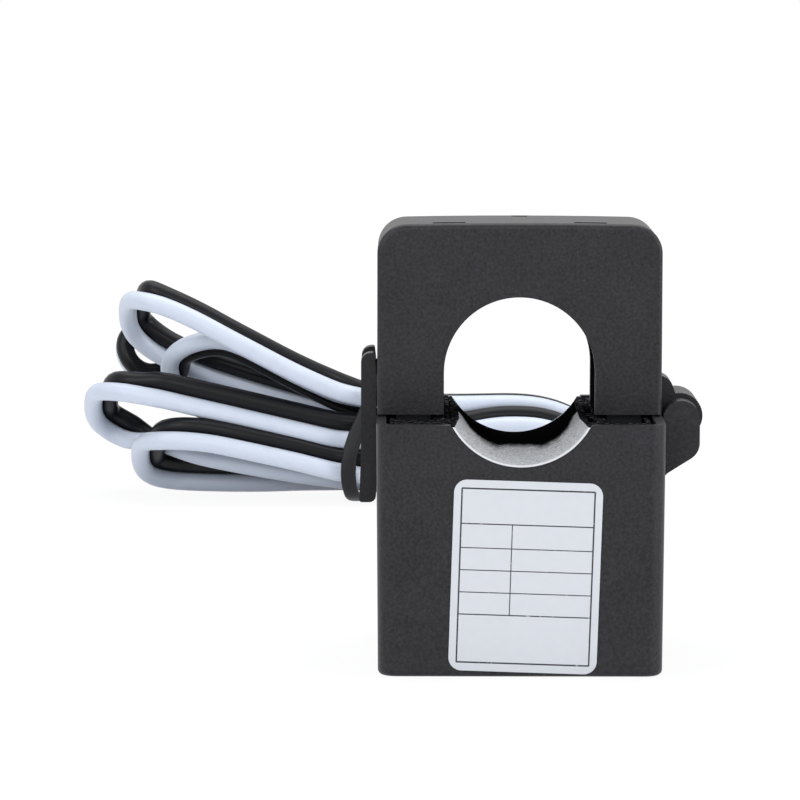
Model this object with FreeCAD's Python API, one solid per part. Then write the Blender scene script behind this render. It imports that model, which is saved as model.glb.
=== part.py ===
"""Split-core current transformer with a 16 mm class window, closed, with its lead in a tied hank.

Millimetres, +Z up. The origin is the centre of the flat base. The label is on the front, at -Y,
the hinge is on the right, at +X, and the latch is on the left, at -X.
"""

import FreeCAD
import Part

import math
import os

from FreeCAD import Vector

# Conductor window: one circle runs through the arch of the upper half and the crest of the saddle
WINDOW_R = 8.2
WINDOW_RISE = 4.76

# Cut core, two U halves of one section
CORE_LEG = 3.8
CORE_D = 8.6
CORE_IN_R = 2.0
CORE_OUT_R = 4.6
POLE_GAP = 0.06

# Arch liner round the window, with snap arms that hook into holes in the upper shell's top
LINER_T = 1.15
LINER_FIT = 0.1
LINER_CORE_GAP = 0.25
ARM_T = 0.95
ARM_CORE_GAP = 0.25
ARM_FRONT_X = 7.65
ARM_FRONT_W = 3.3
ARM_BACK_X = 0.25
ARM_BACK_W = 1.6
ARM_FIT = 0.1
ARM_HOOK = 0.4
ARM_HOOK_H = 0.8
ARM_TOP_DROP = 0.35

# Upper shell, a thinner slab centred in depth on the lower one
SLAB_GAP = 0.2
SLAB_SIDE_WALL = 1.95
SLAB_FACE_WALL = 1.4
SLAB_TOP_WALL = 1.6
SLAB_CORE_FIT = 0.1
SLAB_CROWN = 0.2
SLAB_CORNER_R = 3.2
SLAB_EDGE_R = 0.6
SLAB_CAVITY_R = 1.5

# Leaf spring between the upper core and the shell's ceiling
CORE_SPRING_T = 0.25
CORE_SPRING_H = 1.29
CORE_SPRING_L = 19.0
CORE_SPRING_W = 6.0

# Coil on the lower core's yoke
FORMER_FIT = 0.15
FORMER_T = 0.8
FORMER_FLANGE_T = 0.9
FORMER_FLANGE_OVER = 0.4
FORMER_FLANGE_R = 2.0
WINDING_BUILD = 5.4
TAPE_T = 0.25
COIL_WIRE_R = 0.2
COIL_WIRE_INSET = 2.35
COIL_WIRE_RUN = 1.2
WIRE_ARCH_H = 0.7

# Terminal board, which lies on the former's flanges, and the diode on it
BOARD_INSET = 0.25
BOARD_HALF_Y = 6.0
BOARD_T = 1.0
BOARD_R = 0.5
BOARD_ROOM = 2.75
DIODE_X = 4.6
DIODE_L = 4.6
DIODE_W = 3.6
DIODE_H = 2.0
DIODE_TERMINAL = 0.3
DIODE_FOOT = 0.5

# Lower shell
BODY_STEP = 0.05
BODY_DRAFT = 0.2
BODY_CORNER_R = 2.0
BODY_BASE_R = 0.6
BODY_WALL = 1.6
FLOOR_T = 1.6
CAVITY_R = 1.0
LEAD_BAY = 2.85
RIM_WALL = 1.05

# Saddle cover, let into the rim of the lower shell
FLANGE_T = 1.45
FLANGE_DROP = 0.2
SEAT_FIT = 0.05
GROOVE_SIDE_W = 0.4
GROOVE_FRONT_W = 0.75
GROOVE_DEPTH = 0.6
TROUGH_T = 1.1
LIP_T = 0.2
LIP_SEAM = 0.06
FLARE_OVER = 0.05
FLARE_RISE = 3.96
WELL_IN = 0.3
WELL_OUT = 0.15
WELL_RIGHT_LAND = 3.15
WELL_LEFT_LAND = 5.75
WELL_R = 0.4
# Pockets beside the channel, with a small block left standing in each one on the latch side
POCKET_W = 0.75
POCKET_DEPTH = 0.6
POCKET_LAND = 0.25
LEFT_POCKET_SPANS = ((-8.1, -0.1), (3.5, 9.6))
RIGHT_POCKET_SPANS = ((-10.4, -3.9), (-1.8, 5.2))
POCKET_BLOCK_GAP_X = 0.15
POCKET_BLOCK_GAP_Y = 0.5

# Hinge: distances of its axis from the lower shell's side and rim
HINGE_OUT = 2.2
HINGE_DROP = 0.4
HINGE_CLEAR = 0.3
PIN_R = 0.8
PIN_RUN_FIT = 0.05
KNUCKLE_R = 2.5
KNUCKLE_HALF = 2.25
FRONT_EAR_R = 2.0
REAR_EAR_R = 2.5
EAR_T = 3.15
EAR_GAP = 0.15
EAR_SKIN = 0.8
# Corners of the ear's web: distance out from the shell's side, distance below the axis, rounding
EAR_WEB = ((0.55, 6.05, 1.3), (4.2, 3.75, 2.0))
EAR_ROOT_DROP = 7.8
ARM_NOTCH_IN = 0.5
ARM_SHOULDER_OUT = 1.2
ARM_SHOULDER_RISE = 4.0
ARM_SHOULDER_R = 1.4
ARM_ROOT_RISE = 4.9

# Latch lever: heights are measured from the lower shell's rim
LEVER_T = 1.65
LEVER_HALF_Y = 4.7
LEVER_GAP = 0.12
LEVER_RISE = 6.7
LEVER_DROP = 9.7
LEVER_TOP_R = 1.05
LEVER_TOP_IN_R = 0.2
# The blade above its axis leans off the shell, and its lower end is kicked out from here down
LEVER_TOP_LEAN = 0.22
LEVER_KICK_DROP = 4.5
LEVER_KICK = 0.2
LEVER_KICK_R = 6.0
LEVER_TIP_OUT_R = 0.3
LEVER_TIP_IN_R = 0.75
LEVER_PRONG = 2.0
LEVER_NOTCH_DEPTH = 1.0
BEAD_R = 0.75
BEAD_IN = 0.5
BEAD_RISE = 4.8
BEAD_HALF_Y = 4.0
BEAD_FIT = 0.05
NECK_T = 0.7
NOSE_DROP = 5.1
NOSE_REACH = 0.57
NOSE_LAND = 0.3
NOSE_HALF_Y = 2.0
NOSE_CLEAR = 0.15

# Label on the front face, between two margins from the base and the rim
LABEL_W = 15.9
LABEL_X = 0.5
LABEL_LOW_MARGIN = 0.55
LABEL_TOP_MARGIN = 5.99
LABEL_TURN = 1.8
LABEL_R = 1.4
LABEL_T = 0.1

# Lead: two insulated conductors side by side, through a strain relief in the rear wall
WIRE_D = 2.6
LEAD_INSET = 4.2
LEAD_Z = 4.6
LEAD_STEP_IN = 0.7
LEAD_TAIL_R = 0.5
LEAD_TAIL_INSET = 2.4
LEAD_TAIL_BEND = 0.65
LEAD_TAIL_SLACK = 0.05
RELIEF_NECK = 1.0
RELIEF_FLANGE = 0.8
RELIEF_FLANGE_T = 0.8
RELIEF_BOOT_L = 4.0
RELIEF_HOLE_FIT = 0.05

# Hank of the lead, tied at its waist, lying behind the body
HANK_Y = 130.0
HANK_WAIST_X = -18.8
HANK_WAIST_R = 6.2
HANK_ROUND = 3.0
TIE_W = 2.4
TIE_T = 0.9
# Sections of the hank: distance from the waist, half depth, lowest and highest point
HANK_LEFT = ((-20.0, 9.0, 0.0, 26.5), (-31.0, 10.0, 1.5, 31.0), (-39.0, 6.0, 8.0, 21.0))
HANK_RIGHT = ((16.0, 9.0, 0.0, 15.0), (28.0, 10.0, 0.0, 15.5), (37.0, 6.0, 2.0, 12.0))

# Overshoot of cutting solids past the face that they open
OVER = 1.0

# Inner sizes, from the window outwards
LINER_R = WINDOW_R + LINER_T
CORE_IN_X = LINER_R + LINER_CORE_GAP
CORE_OUT_X = CORE_IN_X + CORE_LEG
FORMER_REACH = FORMER_FIT + FORMER_T
COIL_REACH = FORMER_REACH + WINDING_BUILD + FORMER_FLANGE_OVER
FORMER_X = CORE_IN_X - FORMER_FIT
WINDING_X = FORMER_X - FORMER_FLANGE_T
BOARD_HALF_X = FORMER_X - BOARD_INSET
COIL_WIRE_X = WINDING_X - COIL_WIRE_INSET

# Heights, from the floor up
FLARE_R = WINDOW_R + FLARE_OVER
LOWER_YOKE_Z = FLOOR_T + COIL_REACH
LOWER_YOKE_TOP_Z = LOWER_YOKE_Z + CORE_LEG
BOARD_Z = LOWER_YOKE_TOP_Z + COIL_REACH
BOARD_TOP_Z = BOARD_Z + BOARD_T
WINDOW_AXIS_Z = BOARD_TOP_Z + BOARD_ROOM + TROUGH_T + WINDOW_R
BODY_H = WINDOW_AXIS_Z - WINDOW_RISE
FLANGE_TOP_Z = BODY_H - FLANGE_DROP
SEAT_Z = FLANGE_TOP_Z - FLANGE_T
POLE_Z = BODY_H + SLAB_GAP / 2
SLAB_BOTTOM_Z = BODY_H + SLAB_GAP
UPPER_YOKE_Z = WINDOW_AXIS_Z + LINER_R
UPPER_YOKE_TOP_Z = UPPER_YOKE_Z + CORE_LEG
SLAB_CEILING_Z = UPPER_YOKE_TOP_Z + CORE_SPRING_H
SLAB_SIDE_Z = SLAB_CEILING_Z + SLAB_TOP_WALL
SLAB_TOP_Z = SLAB_SIDE_Z + SLAB_CROWN

# Half widths and half depths
SLAB_CAVITY_X = CORE_OUT_X + SLAB_CORE_FIT
SLAB_X = SLAB_CAVITY_X + SLAB_SIDE_WALL
SLAB_CAVITY_Y = CORE_D / 2 + ARM_CORE_GAP + ARM_T
SLAB_Y = SLAB_CAVITY_Y + SLAB_FACE_WALL
BODY_X = SLAB_X + BODY_STEP
CAVITY_X = BODY_X - BODY_WALL
SEAT_X = BODY_X - RIM_WALL
CAVITY_Y = CORE_D / 2 + COIL_REACH + LEAD_BAY
BODY_Y = CAVITY_Y + BODY_WALL
SEAT_Y = BODY_Y - RIM_WALL
WELL_X0 = CORE_IN_X - WELL_IN
WELL_X1 = CORE_OUT_X + WELL_OUT
WELL_RIGHT_Y = SEAT_Y - WELL_RIGHT_LAND
WELL_LEFT_Y = SEAT_Y - WELL_LEFT_LAND

# Hinge, latch, lead and hank
HINGE_X = BODY_X + HINGE_OUT
HINGE_Z = BODY_H - HINGE_DROP
FRONT_EAR_Y = -(KNUCKLE_HALF + EAR_GAP)
REAR_EAR_Y = KNUCKLE_HALF + EAR_GAP
LEVER_IN_X = -(SLAB_X + LEVER_GAP)
LEVER_OUT_X = LEVER_IN_X - LEVER_T
LEVER_TOP_Z = BODY_H + LEVER_RISE
LEVER_BOTTOM_Z = BODY_H - LEVER_DROP
LEVER_KICK_Z = BODY_H - LEVER_KICK_DROP
BEAD_X = -(SLAB_X - BEAD_IN)
BEAD_Z = BODY_H + BEAD_RISE
NOSE_Z = BODY_H - NOSE_DROP
LEAD_X = -(BOARD_HALF_X - LEAD_INSET)
LEAD_INNER_Y = CAVITY_Y - LEAD_STEP_IN
LEAD_TAIL_PAD_Y = BOARD_HALF_Y - LEAD_TAIL_INSET
RELIEF_END_Y = BODY_Y + RELIEF_BOOT_L
LABEL_H = BODY_H - LABEL_LOW_MARGIN - LABEL_TOP_MARGIN
LABEL_Z = LABEL_LOW_MARGIN + LABEL_H / 2
HANK_Z = HANK_WAIST_R + TIE_T

# Centre line of the lead from the strain relief to the hank; it comes down to the floor
LEAD_FLOOR_Z = WIRE_D / 2
LEAD_EXIT_RUN = 9.5
LEAD_ROUTE = (
    (LEAD_X, RELIEF_END_Y + LEAD_EXIT_RUN, LEAD_Z),
    (-4.0, 45.0, LEAD_FLOOR_Z),
    (1.5, 64.0, LEAD_FLOOR_Z),
    (11.5, 81.0, LEAD_FLOOR_Z),
    (16.0, 100.0, LEAD_FLOOR_Z),
    (11.5, 117.0, LEAD_FLOOR_Z),
    (3.0, 130.0, LEAD_FLOOR_Z),
)
ROUTE_BEND = 0.45

UP = Vector(0, 0, 1)
BACK = Vector(0, 1, 0)
RIGHT = Vector(1, 0, 0)


def box(x0, x1, y0, y1, z0, z1):
    """Block between two corners."""
    return Part.makeBox(x1 - x0, y1 - y0, z1 - z0, Vector(x0, y0, z0))


def rod(radius, start, end):
    """Round bar from one point to another."""
    return Part.makeCylinder(radius, (end - start).Length, start, end - start)


def outline(corners, place):
    """Closed wire of straight edges. A corner is (u, v, radius); place puts a flat point into space."""
    count = len(corners)
    flat = [Vector(corner[0], corner[1], 0) for corner in corners]
    ends = []
    for index, corner in enumerate(corners):
        here = flat[index]
        before = (flat[index - 1] - here).normalize()
        after = (flat[(index + 1) % count] - here).normalize()
        radius = corner[2]
        if radius == 0:
            ends.append((here, None, here))
            continue
        half = before.getAngle(after) / 2
        reach = radius / math.tan(half)
        centre = here + (before + after).normalize() * (radius / math.sin(half))
        crest = centre + (here - centre).normalize() * radius
        ends.append((here + before * reach, crest, here + after * reach))
    edges = []
    for index, (start, crest, end) in enumerate(ends):
        last = ends[index - 1][2]
        if last.distanceToPoint(start) > 1e-7:
            edges.append(Part.makeLine(place(last), place(start)))
        if crest is not None:
            edges.append(Part.Arc(place(start), place(crest), place(end)).toShape())
    return Part.Wire(edges)


def side_prism(corners, y0, y1):
    """Solid with an outline of (x, z, radius) corners, from y0 to y1."""
    wire = outline(corners, lambda point: Vector(point.x, y0, point.y))
    return Part.Face(wire).extrude(Vector(0, y1 - y0, 0))


def plan_prism(x0, x1, y0, y1, z0, z1, radius):
    """Upright block with rounded corners in plan."""
    corners = [(x0, y0, radius), (x1, y0, radius), (x1, y1, radius), (x0, y1, radius)]
    wire = outline(corners, lambda point: Vector(point.x, point.y, z0))
    return Part.Face(wire).extrude(Vector(0, 0, z1 - z0))


def end_section(half_y, z0, z1, radius, x, centre_y=0.0):
    """Rounded rectangle in a plane across X."""
    corners = [
        (centre_y - half_y, z0, radius),
        (centre_y + half_y, z0, radius),
        (centre_y + half_y, z1, radius),
        (centre_y - half_y, z1, radius),
    ]
    return outline(corners, lambda point: Vector(x, point.x, point.y))


def end_prism(half_y, z0, z1, radius, x0, x1):
    """Bar along X with a rounded rectangle as its section."""
    return Part.Face(end_section(half_y, z0, z1, radius, x0)).extrude(Vector(x1 - x0, 0, 0))


def bent_path(points, radii):
    """Straight runs joined by tangent arcs, as a wire. There is one radius for each inner point."""
    edges = []
    last = points[0]
    for index, radius in enumerate(radii, start=1):
        here = points[index]
        before = (points[index - 1] - here).normalize()
        after = (points[index + 1] - here).normalize()
        half = before.getAngle(after) / 2
        reach = radius / math.tan(half)
        start = here + before * reach
        end = here + after * reach
        centre = here + (before + after).normalize() * (radius / math.sin(half))
        crest = centre + (here - centre).normalize() * radius
        if last.distanceToPoint(start) > 1e-6:
            edges.append(Part.LineSegment(last, start).toShape())
        edges.append(Part.Arc(start, crest, end).toShape())
        last = end
    edges.append(Part.LineSegment(last, points[-1]).toShape())
    return Part.Wire(edges)


def wire_tube(points, radii, radius):
    """Round wire along a bent path."""
    path = bent_path(points, radii)
    section = Part.Wire(Part.makeCircle(radius, points[0], points[1] - points[0]))
    return path.makePipeShell([section], True, True)


def lead_section(centre, grow=0.0):
    """Section of the flat lead, wide along X and thin along Z, in a plane across Y."""
    half = WIRE_D / 2 + grow
    side = WIRE_D / 2
    top = centre + UP * half
    bottom = centre - UP * half
    edges = [
        Part.LineSegment(bottom - RIGHT * side, bottom + RIGHT * side).toShape(),
        Part.Arc(bottom + RIGHT * side, centre + RIGHT * (side + half), top + RIGHT * side).toShape(),
        Part.LineSegment(top + RIGHT * side, top - RIGHT * side).toShape(),
        Part.Arc(top - RIGHT * side, centre - RIGHT * (side + half), bottom - RIGHT * side).toShape(),
    ]
    return Part.Wire(edges)


def lead_bar(y0, y1, grow):
    """Straight bar of the lead's section, grown by a margin, through the rear wall."""
    centre = Vector(LEAD_X, y0, LEAD_Z)
    return Part.Face(lead_section(centre, grow)).extrude(Vector(0, y1 - y0, 0))


def body_block(grow=0.0):
    """Outer form of the lower shell, with mould draft, rounded corners and a rounded base edge."""
    top_x = BODY_X + grow
    top_y = BODY_Y + grow
    low_x = top_x - BODY_DRAFT
    low_y = top_y - BODY_DRAFT
    # The wedge is built with its taper along its own Y axis, which is then turned upright
    block = Part.makeWedge(
        -low_x, -grow, -low_y, -top_y, -top_x,
        low_x, BODY_H, low_y, top_y, top_x,
    )
    block.rotate(Vector(0, 0, 0), RIGHT, 90)
    corners = [edge for edge in block.Edges if abs(edge.tangentAt(edge.FirstParameter).z) > 0.9]
    block = block.makeFillet(BODY_CORNER_R, corners)
    base = [edge for edge in block.Edges if edge.BoundBox.ZMax < -grow + 0.01]
    return block.makeFillet(BODY_BASE_R, base)


def circle_at(y, radius, centre_z):
    """Circle across Y round the window's centre line."""
    return Part.Wire(Part.makeCircle(radius, Vector(0, y, centre_z), BACK))


def throat(thickness_crest, thickness_lip):
    """The saddle's channel as a solid: a cylinder under the slab, then a flare to each face."""
    crest = Part.makeCylinder(WINDOW_R + thickness_crest, 2 * SLAB_Y, Vector(0, -SLAB_Y, WINDOW_AXIS_Z), BACK)
    span = BODY_Y - SLAB_Y
    slope_r = (FLARE_R + thickness_lip - WINDOW_R - thickness_crest) / span
    slope_z = (BODY_H + FLARE_RISE - WINDOW_AXIS_Z) / span
    reach = span + OVER
    end_r = WINDOW_R + thickness_crest + slope_r * reach
    end_z = WINDOW_AXIS_Z + slope_z * reach
    solid = crest
    for side in (-1, 1):
        inner = circle_at(side * SLAB_Y, WINDOW_R + thickness_crest, WINDOW_AXIS_Z)
        outer = circle_at(side * (SLAB_Y + reach), end_r, end_z)
        solid = solid.fuse(Part.makeLoft([inner, outer], True, True))
    return solid


def ear(radius, y0, y1):
    """Hinge ear of the lower shell: a disc round the hinge axis on a curved web."""
    root = BODY_X - RIM_WALL / 2
    bends = [(BODY_X + out, HINGE_Z - drop, rounding) for out, drop, rounding in EAR_WEB]
    outer_x = bends[-1][0]
    corners = [(root, HINGE_Z - EAR_ROOT_DROP, 0)] + bends + [(outer_x, HINGE_Z, 0), (root, HINGE_Z, 0)]
    web = side_prism(corners, y0, y1)
    disc = rod(radius, Vector(HINGE_X, y0, HINGE_Z), Vector(HINGE_X, y1, HINGE_Z))
    return web.fuse(disc)


def hinge_cylinder(radius, y0, y1):
    """Cylinder round the hinge axis."""
    return rod(radius, Vector(HINGE_X, y0, HINGE_Z), Vector(HINGE_X, y1, HINGE_Z))


def lower_shell():
    """Moulded cup with hinge ears, latch pocket and the hole for the lead."""
    shell = body_block()
    shell = shell.cut(plan_prism(-CAVITY_X, CAVITY_X, -CAVITY_Y, CAVITY_Y, FLOOR_T, BODY_H + OVER, CAVITY_R))
    shell = shell.cut(plan_prism(-SEAT_X, SEAT_X, -SEAT_Y, SEAT_Y, SEAT_Z, BODY_H + OVER, CAVITY_R))
    shell = shell.cut(throat(TROUGH_T + LIP_SEAM, LIP_T + LIP_SEAM))
    front_ear = ear(FRONT_EAR_R, FRONT_EAR_Y - EAR_T, FRONT_EAR_Y)
    rear_ear = ear(REAR_EAR_R, REAR_EAR_Y, REAR_EAR_Y + EAR_T)
    shell = shell.fuse([front_ear, rear_ear])
    relief = hinge_cylinder(KNUCKLE_R + HINGE_CLEAR, FRONT_EAR_Y, REAR_EAR_Y)
    pin_hole = hinge_cylinder(PIN_R, FRONT_EAR_Y - EAR_T + EAR_SKIN, REAR_EAR_Y + EAR_T + OVER)
    pocket = box(
        LEVER_OUT_X, LEVER_IN_X + NOSE_REACH + NOSE_CLEAR,
        -NOSE_HALF_Y - NOSE_CLEAR, NOSE_HALF_Y + NOSE_CLEAR,
        NOSE_Z - NOSE_LAND - NOSE_REACH - NOSE_CLEAR, NOSE_Z + NOSE_CLEAR,
    )
    lead_hole = lead_bar(CAVITY_Y - OVER, BODY_Y + OVER, RELIEF_NECK + RELIEF_HOLE_FIT)
    return shell.cut([relief, pin_hole, pocket, lead_hole])


def saddle_cover():
    """Glossy insert: flange in the shell's rim, channel with flares, and openings for the poles."""
    flange = plan_prism(
        -SEAT_X + SEAT_FIT, SEAT_X - SEAT_FIT, -SEAT_Y + SEAT_FIT, SEAT_Y - SEAT_FIT,
        SEAT_Z, FLANGE_TOP_Z - GROOVE_DEPTH, CAVITY_R,
    )
    deck = plan_prism(
        -SEAT_X + GROOVE_SIDE_W, SEAT_X - GROOVE_SIDE_W,
        -SEAT_Y + GROOVE_FRONT_W, SEAT_Y - GROOVE_FRONT_W,
        SEAT_Z, FLANGE_TOP_Z, CAVITY_R,
    )
    trough = throat(TROUGH_T, LIP_T).common(body_block())
    cover = flange.fuse([deck, trough.common(box(-BODY_X, BODY_X, -BODY_Y, BODY_Y, 0, FLANGE_TOP_Z))])
    cuts = [throat(0, 0)]
    cuts.append(plan_prism(
        WELL_X0, WELL_X1, -WELL_RIGHT_Y, WELL_RIGHT_Y, SEAT_Z - OVER, BODY_H, WELL_R))
    cuts.append(plan_prism(
        -WELL_X1, -WELL_X0, -WELL_LEFT_Y, WELL_LEFT_Y, SEAT_Z - OVER, BODY_H, WELL_R))
    throat_half = math.sqrt(FLARE_R ** 2 - (FLARE_RISE + FLANGE_DROP) ** 2)
    pocket_x = throat_half + POCKET_LAND
    pocket_z = FLANGE_TOP_Z - POCKET_DEPTH
    for y0, y1 in RIGHT_POCKET_SPANS:
        cuts.append(box(pocket_x, pocket_x + POCKET_W, y0, y1, pocket_z, BODY_H))
    blocks = []
    for y0, y1 in LEFT_POCKET_SPANS:
        cuts.append(box(-pocket_x - POCKET_W, -pocket_x, y0, y1, pocket_z, BODY_H))
        blocks.append(box(
            -pocket_x - POCKET_W + POCKET_BLOCK_GAP_X, -pocket_x - POCKET_BLOCK_GAP_X,
            y0 + POCKET_BLOCK_GAP_Y, y1 - POCKET_BLOCK_GAP_Y, pocket_z - OVER / 2, FLANGE_TOP_Z))
    return cover.cut(cuts).fuse(blocks)


def core_half(yoke_z, yoke_top_z, pole_z):
    """U-shaped core half. The yoke lies between two heights and the legs end at the pole height."""
    yoke_out, yoke_in = (yoke_z, yoke_top_z) if pole_z > yoke_z else (yoke_top_z, yoke_z)
    corners = [
        (-CORE_OUT_X, pole_z, 0),
        (-CORE_OUT_X, yoke_out, CORE_OUT_R),
        (CORE_OUT_X, yoke_out, CORE_OUT_R),
        (CORE_OUT_X, pole_z, 0),
        (CORE_IN_X, pole_z, 0),
        (CORE_IN_X, yoke_in, CORE_IN_R),
        (-CORE_IN_X, yoke_in, CORE_IN_R),
        (-CORE_IN_X, pole_z, 0),
    ]
    return side_prism(corners, -CORE_D / 2, CORE_D / 2)


def lower_core():
    """Lower half of the cut core."""
    return core_half(LOWER_YOKE_Z, LOWER_YOKE_TOP_Z, POLE_Z - POLE_GAP / 2)


def upper_core():
    """Upper half of the cut core, seated on the arch liner's crown."""
    return core_half(UPPER_YOKE_Z, UPPER_YOKE_TOP_Z, POLE_Z + POLE_GAP / 2)


def coil_layer(reach, x0, x1, radius):
    """Bar round the lower yoke, standing off it by a distance on all four sides."""
    return end_prism(
        CORE_D / 2 + reach, LOWER_YOKE_Z - reach, LOWER_YOKE_TOP_Z + reach, radius, x0, x1)


def coil_former():
    """Whole former: a tube round the yoke with a flange at each end, eased to the core's inner corners."""
    tube = coil_layer(FORMER_REACH, -FORMER_X, FORMER_X, FORMER_T)
    flanges = [
        coil_layer(COIL_REACH, -FORMER_X, -WINDING_X, FORMER_FLANGE_R),
        coil_layer(COIL_REACH, WINDING_X, FORMER_X, FORMER_FLANGE_R),
    ]
    bore = coil_layer(FORMER_FIT, -FORMER_X - OVER, FORMER_X + OVER, FORMER_FIT)
    return tube.fuse(flanges).cut([bore, lower_core()])


def former_half(side):
    """Front (-1) or rear (+1) half of the former, split through the yoke's middle."""
    far = BODY_Y * side
    half = box(-BODY_X, BODY_X, min(0, far), max(0, far), 0, BODY_H)
    return coil_former().common(half)


def winding():
    """Coil of enamelled wire on the former."""
    outer = coil_layer(FORMER_REACH + WINDING_BUILD - TAPE_T, -WINDING_X, WINDING_X, WINDING_BUILD)
    inner = coil_layer(FORMER_REACH, -WINDING_X - OVER, WINDING_X + OVER, FORMER_T)
    return outer.cut(inner)


def winding_tape():
    """Insulating tape round the coil."""
    outer = coil_layer(FORMER_REACH + WINDING_BUILD, -WINDING_X, WINDING_X, WINDING_BUILD + TAPE_T)
    inner = coil_layer(
        FORMER_REACH + WINDING_BUILD - TAPE_T, -WINDING_X - OVER, WINDING_X + OVER, WINDING_BUILD)
    return outer.cut(inner)


def terminal_board():
    """Board on the former's flanges."""
    return plan_prism(
        -BOARD_HALF_X, BOARD_HALF_X, -BOARD_HALF_Y, BOARD_HALF_Y, BOARD_Z, BOARD_TOP_Z, BOARD_R)


def clamp_diode():
    """Surge-clamping diode on the board, with its two bent terminals."""
    middle_z = BOARD_TOP_Z + DIODE_H / 2
    body = box(
        DIODE_X - DIODE_L / 2, DIODE_X + DIODE_L / 2, -DIODE_W / 2, DIODE_W / 2,
        BOARD_TOP_Z + DIODE_TERMINAL / 2, BOARD_TOP_Z + DIODE_H,
    )
    body = body.makeChamfer(DIODE_TERMINAL, [edge for edge in body.Edges if edge.BoundBox.ZMin > middle_z])
    reach = DIODE_L / 2 + DIODE_FOOT
    feet = box(DIODE_X - reach, DIODE_X + reach, -DIODE_W / 4, DIODE_W / 4, BOARD_TOP_Z, middle_z)
    gap = box(
        DIODE_X - DIODE_L / 4, DIODE_X + DIODE_L / 4, -DIODE_W / 4, DIODE_W / 4,
        BOARD_TOP_Z, BOARD_TOP_Z + DIODE_TERMINAL / 2,
    )
    return body.fuse(feet).cut(gap)


def coil_end_wire(x):
    """End of the coil, from the tape's top over the board's edge to its pad."""
    top = BOARD_TOP_Z + WIRE_ARCH_H
    outside = BOARD_HALF_Y + COIL_WIRE_RUN
    pad_y = BOARD_HALF_Y - COIL_WIRE_RUN
    points = [
        Vector(x, outside, BOARD_Z - 2 * FORMER_FLANGE_OVER),
        Vector(x, outside, top),
        Vector(x, pad_y, top),
        Vector(x, pad_y, BOARD_TOP_Z),
    ]
    bend = WIRE_ARCH_H - COIL_WIRE_R / 2
    tube = wire_tube(points, [bend, bend], COIL_WIRE_R)
    return tube.cut([winding(), winding_tape()])


def lead_tail(x):
    """One inner conductor of the lead, from the rear wall up to its pad on the board."""
    rise_y = LEAD_INNER_Y - LEAD_TAIL_BEND - LEAD_TAIL_SLACK
    top = BOARD_TOP_Z + WIRE_ARCH_H * 2
    points = [
        Vector(x, LEAD_INNER_Y, LEAD_Z),
        Vector(x, rise_y, LEAD_Z),
        Vector(x, rise_y, top),
        Vector(x, LEAD_TAIL_PAD_Y, top),
        Vector(x, LEAD_TAIL_PAD_Y, BOARD_TOP_Z),
    ]
    return wire_tube(points, [LEAD_TAIL_BEND, 2 * LEAD_TAIL_BEND, 2 * LEAD_TAIL_BEND], LEAD_TAIL_R)


def strain_relief():
    """Bush through the rear wall, with a flange on each side of it and a short boot outside."""
    neck = lead_bar(CAVITY_Y - RELIEF_FLANGE_T, RELIEF_END_Y, RELIEF_NECK)
    inside = lead_bar(LEAD_INNER_Y, CAVITY_Y, RELIEF_NECK + RELIEF_FLANGE)
    outside = lead_bar(CAVITY_Y, BODY_Y + RELIEF_FLANGE_T, RELIEF_NECK + RELIEF_FLANGE)
    bush = neck.fuse([inside, outside])
    trim = box(-BODY_X, BODY_X, 0, LEAD_INNER_Y, 0, BODY_H)
    bore = lead_bar(LEAD_INNER_Y - OVER, RELIEF_END_Y + OVER, 0)
    return bush.cut([lower_shell(), trim, bore])


def lead_points():
    """Points of the lead's centre line, from inside the strain relief to inside the hank."""
    return [Vector(LEAD_X, LEAD_INNER_Y, LEAD_Z)] + [Vector(*point) for point in LEAD_ROUTE]


def route_radii(points):
    """Radius at each inner point, as large as its two runs allow."""
    radii = []
    for index in range(1, len(points) - 1):
        before = points[index - 1] - points[index]
        after = points[index + 1] - points[index]
        half_turn = (math.pi - before.getAngle(after)) / 2
        radii.append(ROUTE_BEND * min(before.Length, after.Length) / math.tan(half_turn))
    return radii


def lead_cord():
    """The flat lead along the floor, cut off where it enters the hank."""
    points = lead_points()
    path = bent_path(points, route_radii(points))
    sweep = Part.BRepOffsetAPI.MakePipeShell(path)
    sweep.setBiNormalMode(UP)
    sweep.add(lead_section(points[0]), False, False)
    sweep.build()
    sweep.makeSolid()
    tube = sweep.shape()
    return tube.cut(lead_hank())


def hank_loft(sections):
    """One lobe of the hank, from the waist through its sections."""
    low = HANK_Z - HANK_WAIST_R
    high = HANK_Z + HANK_WAIST_R
    waist_x = HANK_WAIST_X + math.copysign(TIE_W / 2, sections[0][0])
    wires = [end_section(HANK_WAIST_R, low, high, HANK_ROUND, waist_x, HANK_Y)]
    for distance, half_y, z0, z1 in sections:
        wires.append(end_section(half_y, z0, z1, HANK_ROUND, HANK_WAIST_X + distance, HANK_Y))
    return Part.makeLoft(wires, True, True)


def waist_bar(grow):
    """The hank's waist, where the tie holds it, grown by a margin."""
    half = HANK_WAIST_R + grow
    wire = end_section(
        half, HANK_Z - half, HANK_Z + half, HANK_ROUND + grow, HANK_WAIST_X - TIE_W / 2, HANK_Y)
    return Part.Face(wire).extrude(Vector(TIE_W, 0, 0))


def lead_hank():
    """Outer form of the gathered loops: two lobes that meet at the waist."""
    return waist_bar(0).fuse([hank_loft(HANK_LEFT), hank_loft(HANK_RIGHT)])


def hank_tie():
    """Tie round the hank's waist."""
    return waist_bar(TIE_T).cut(waist_bar(0))


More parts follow.
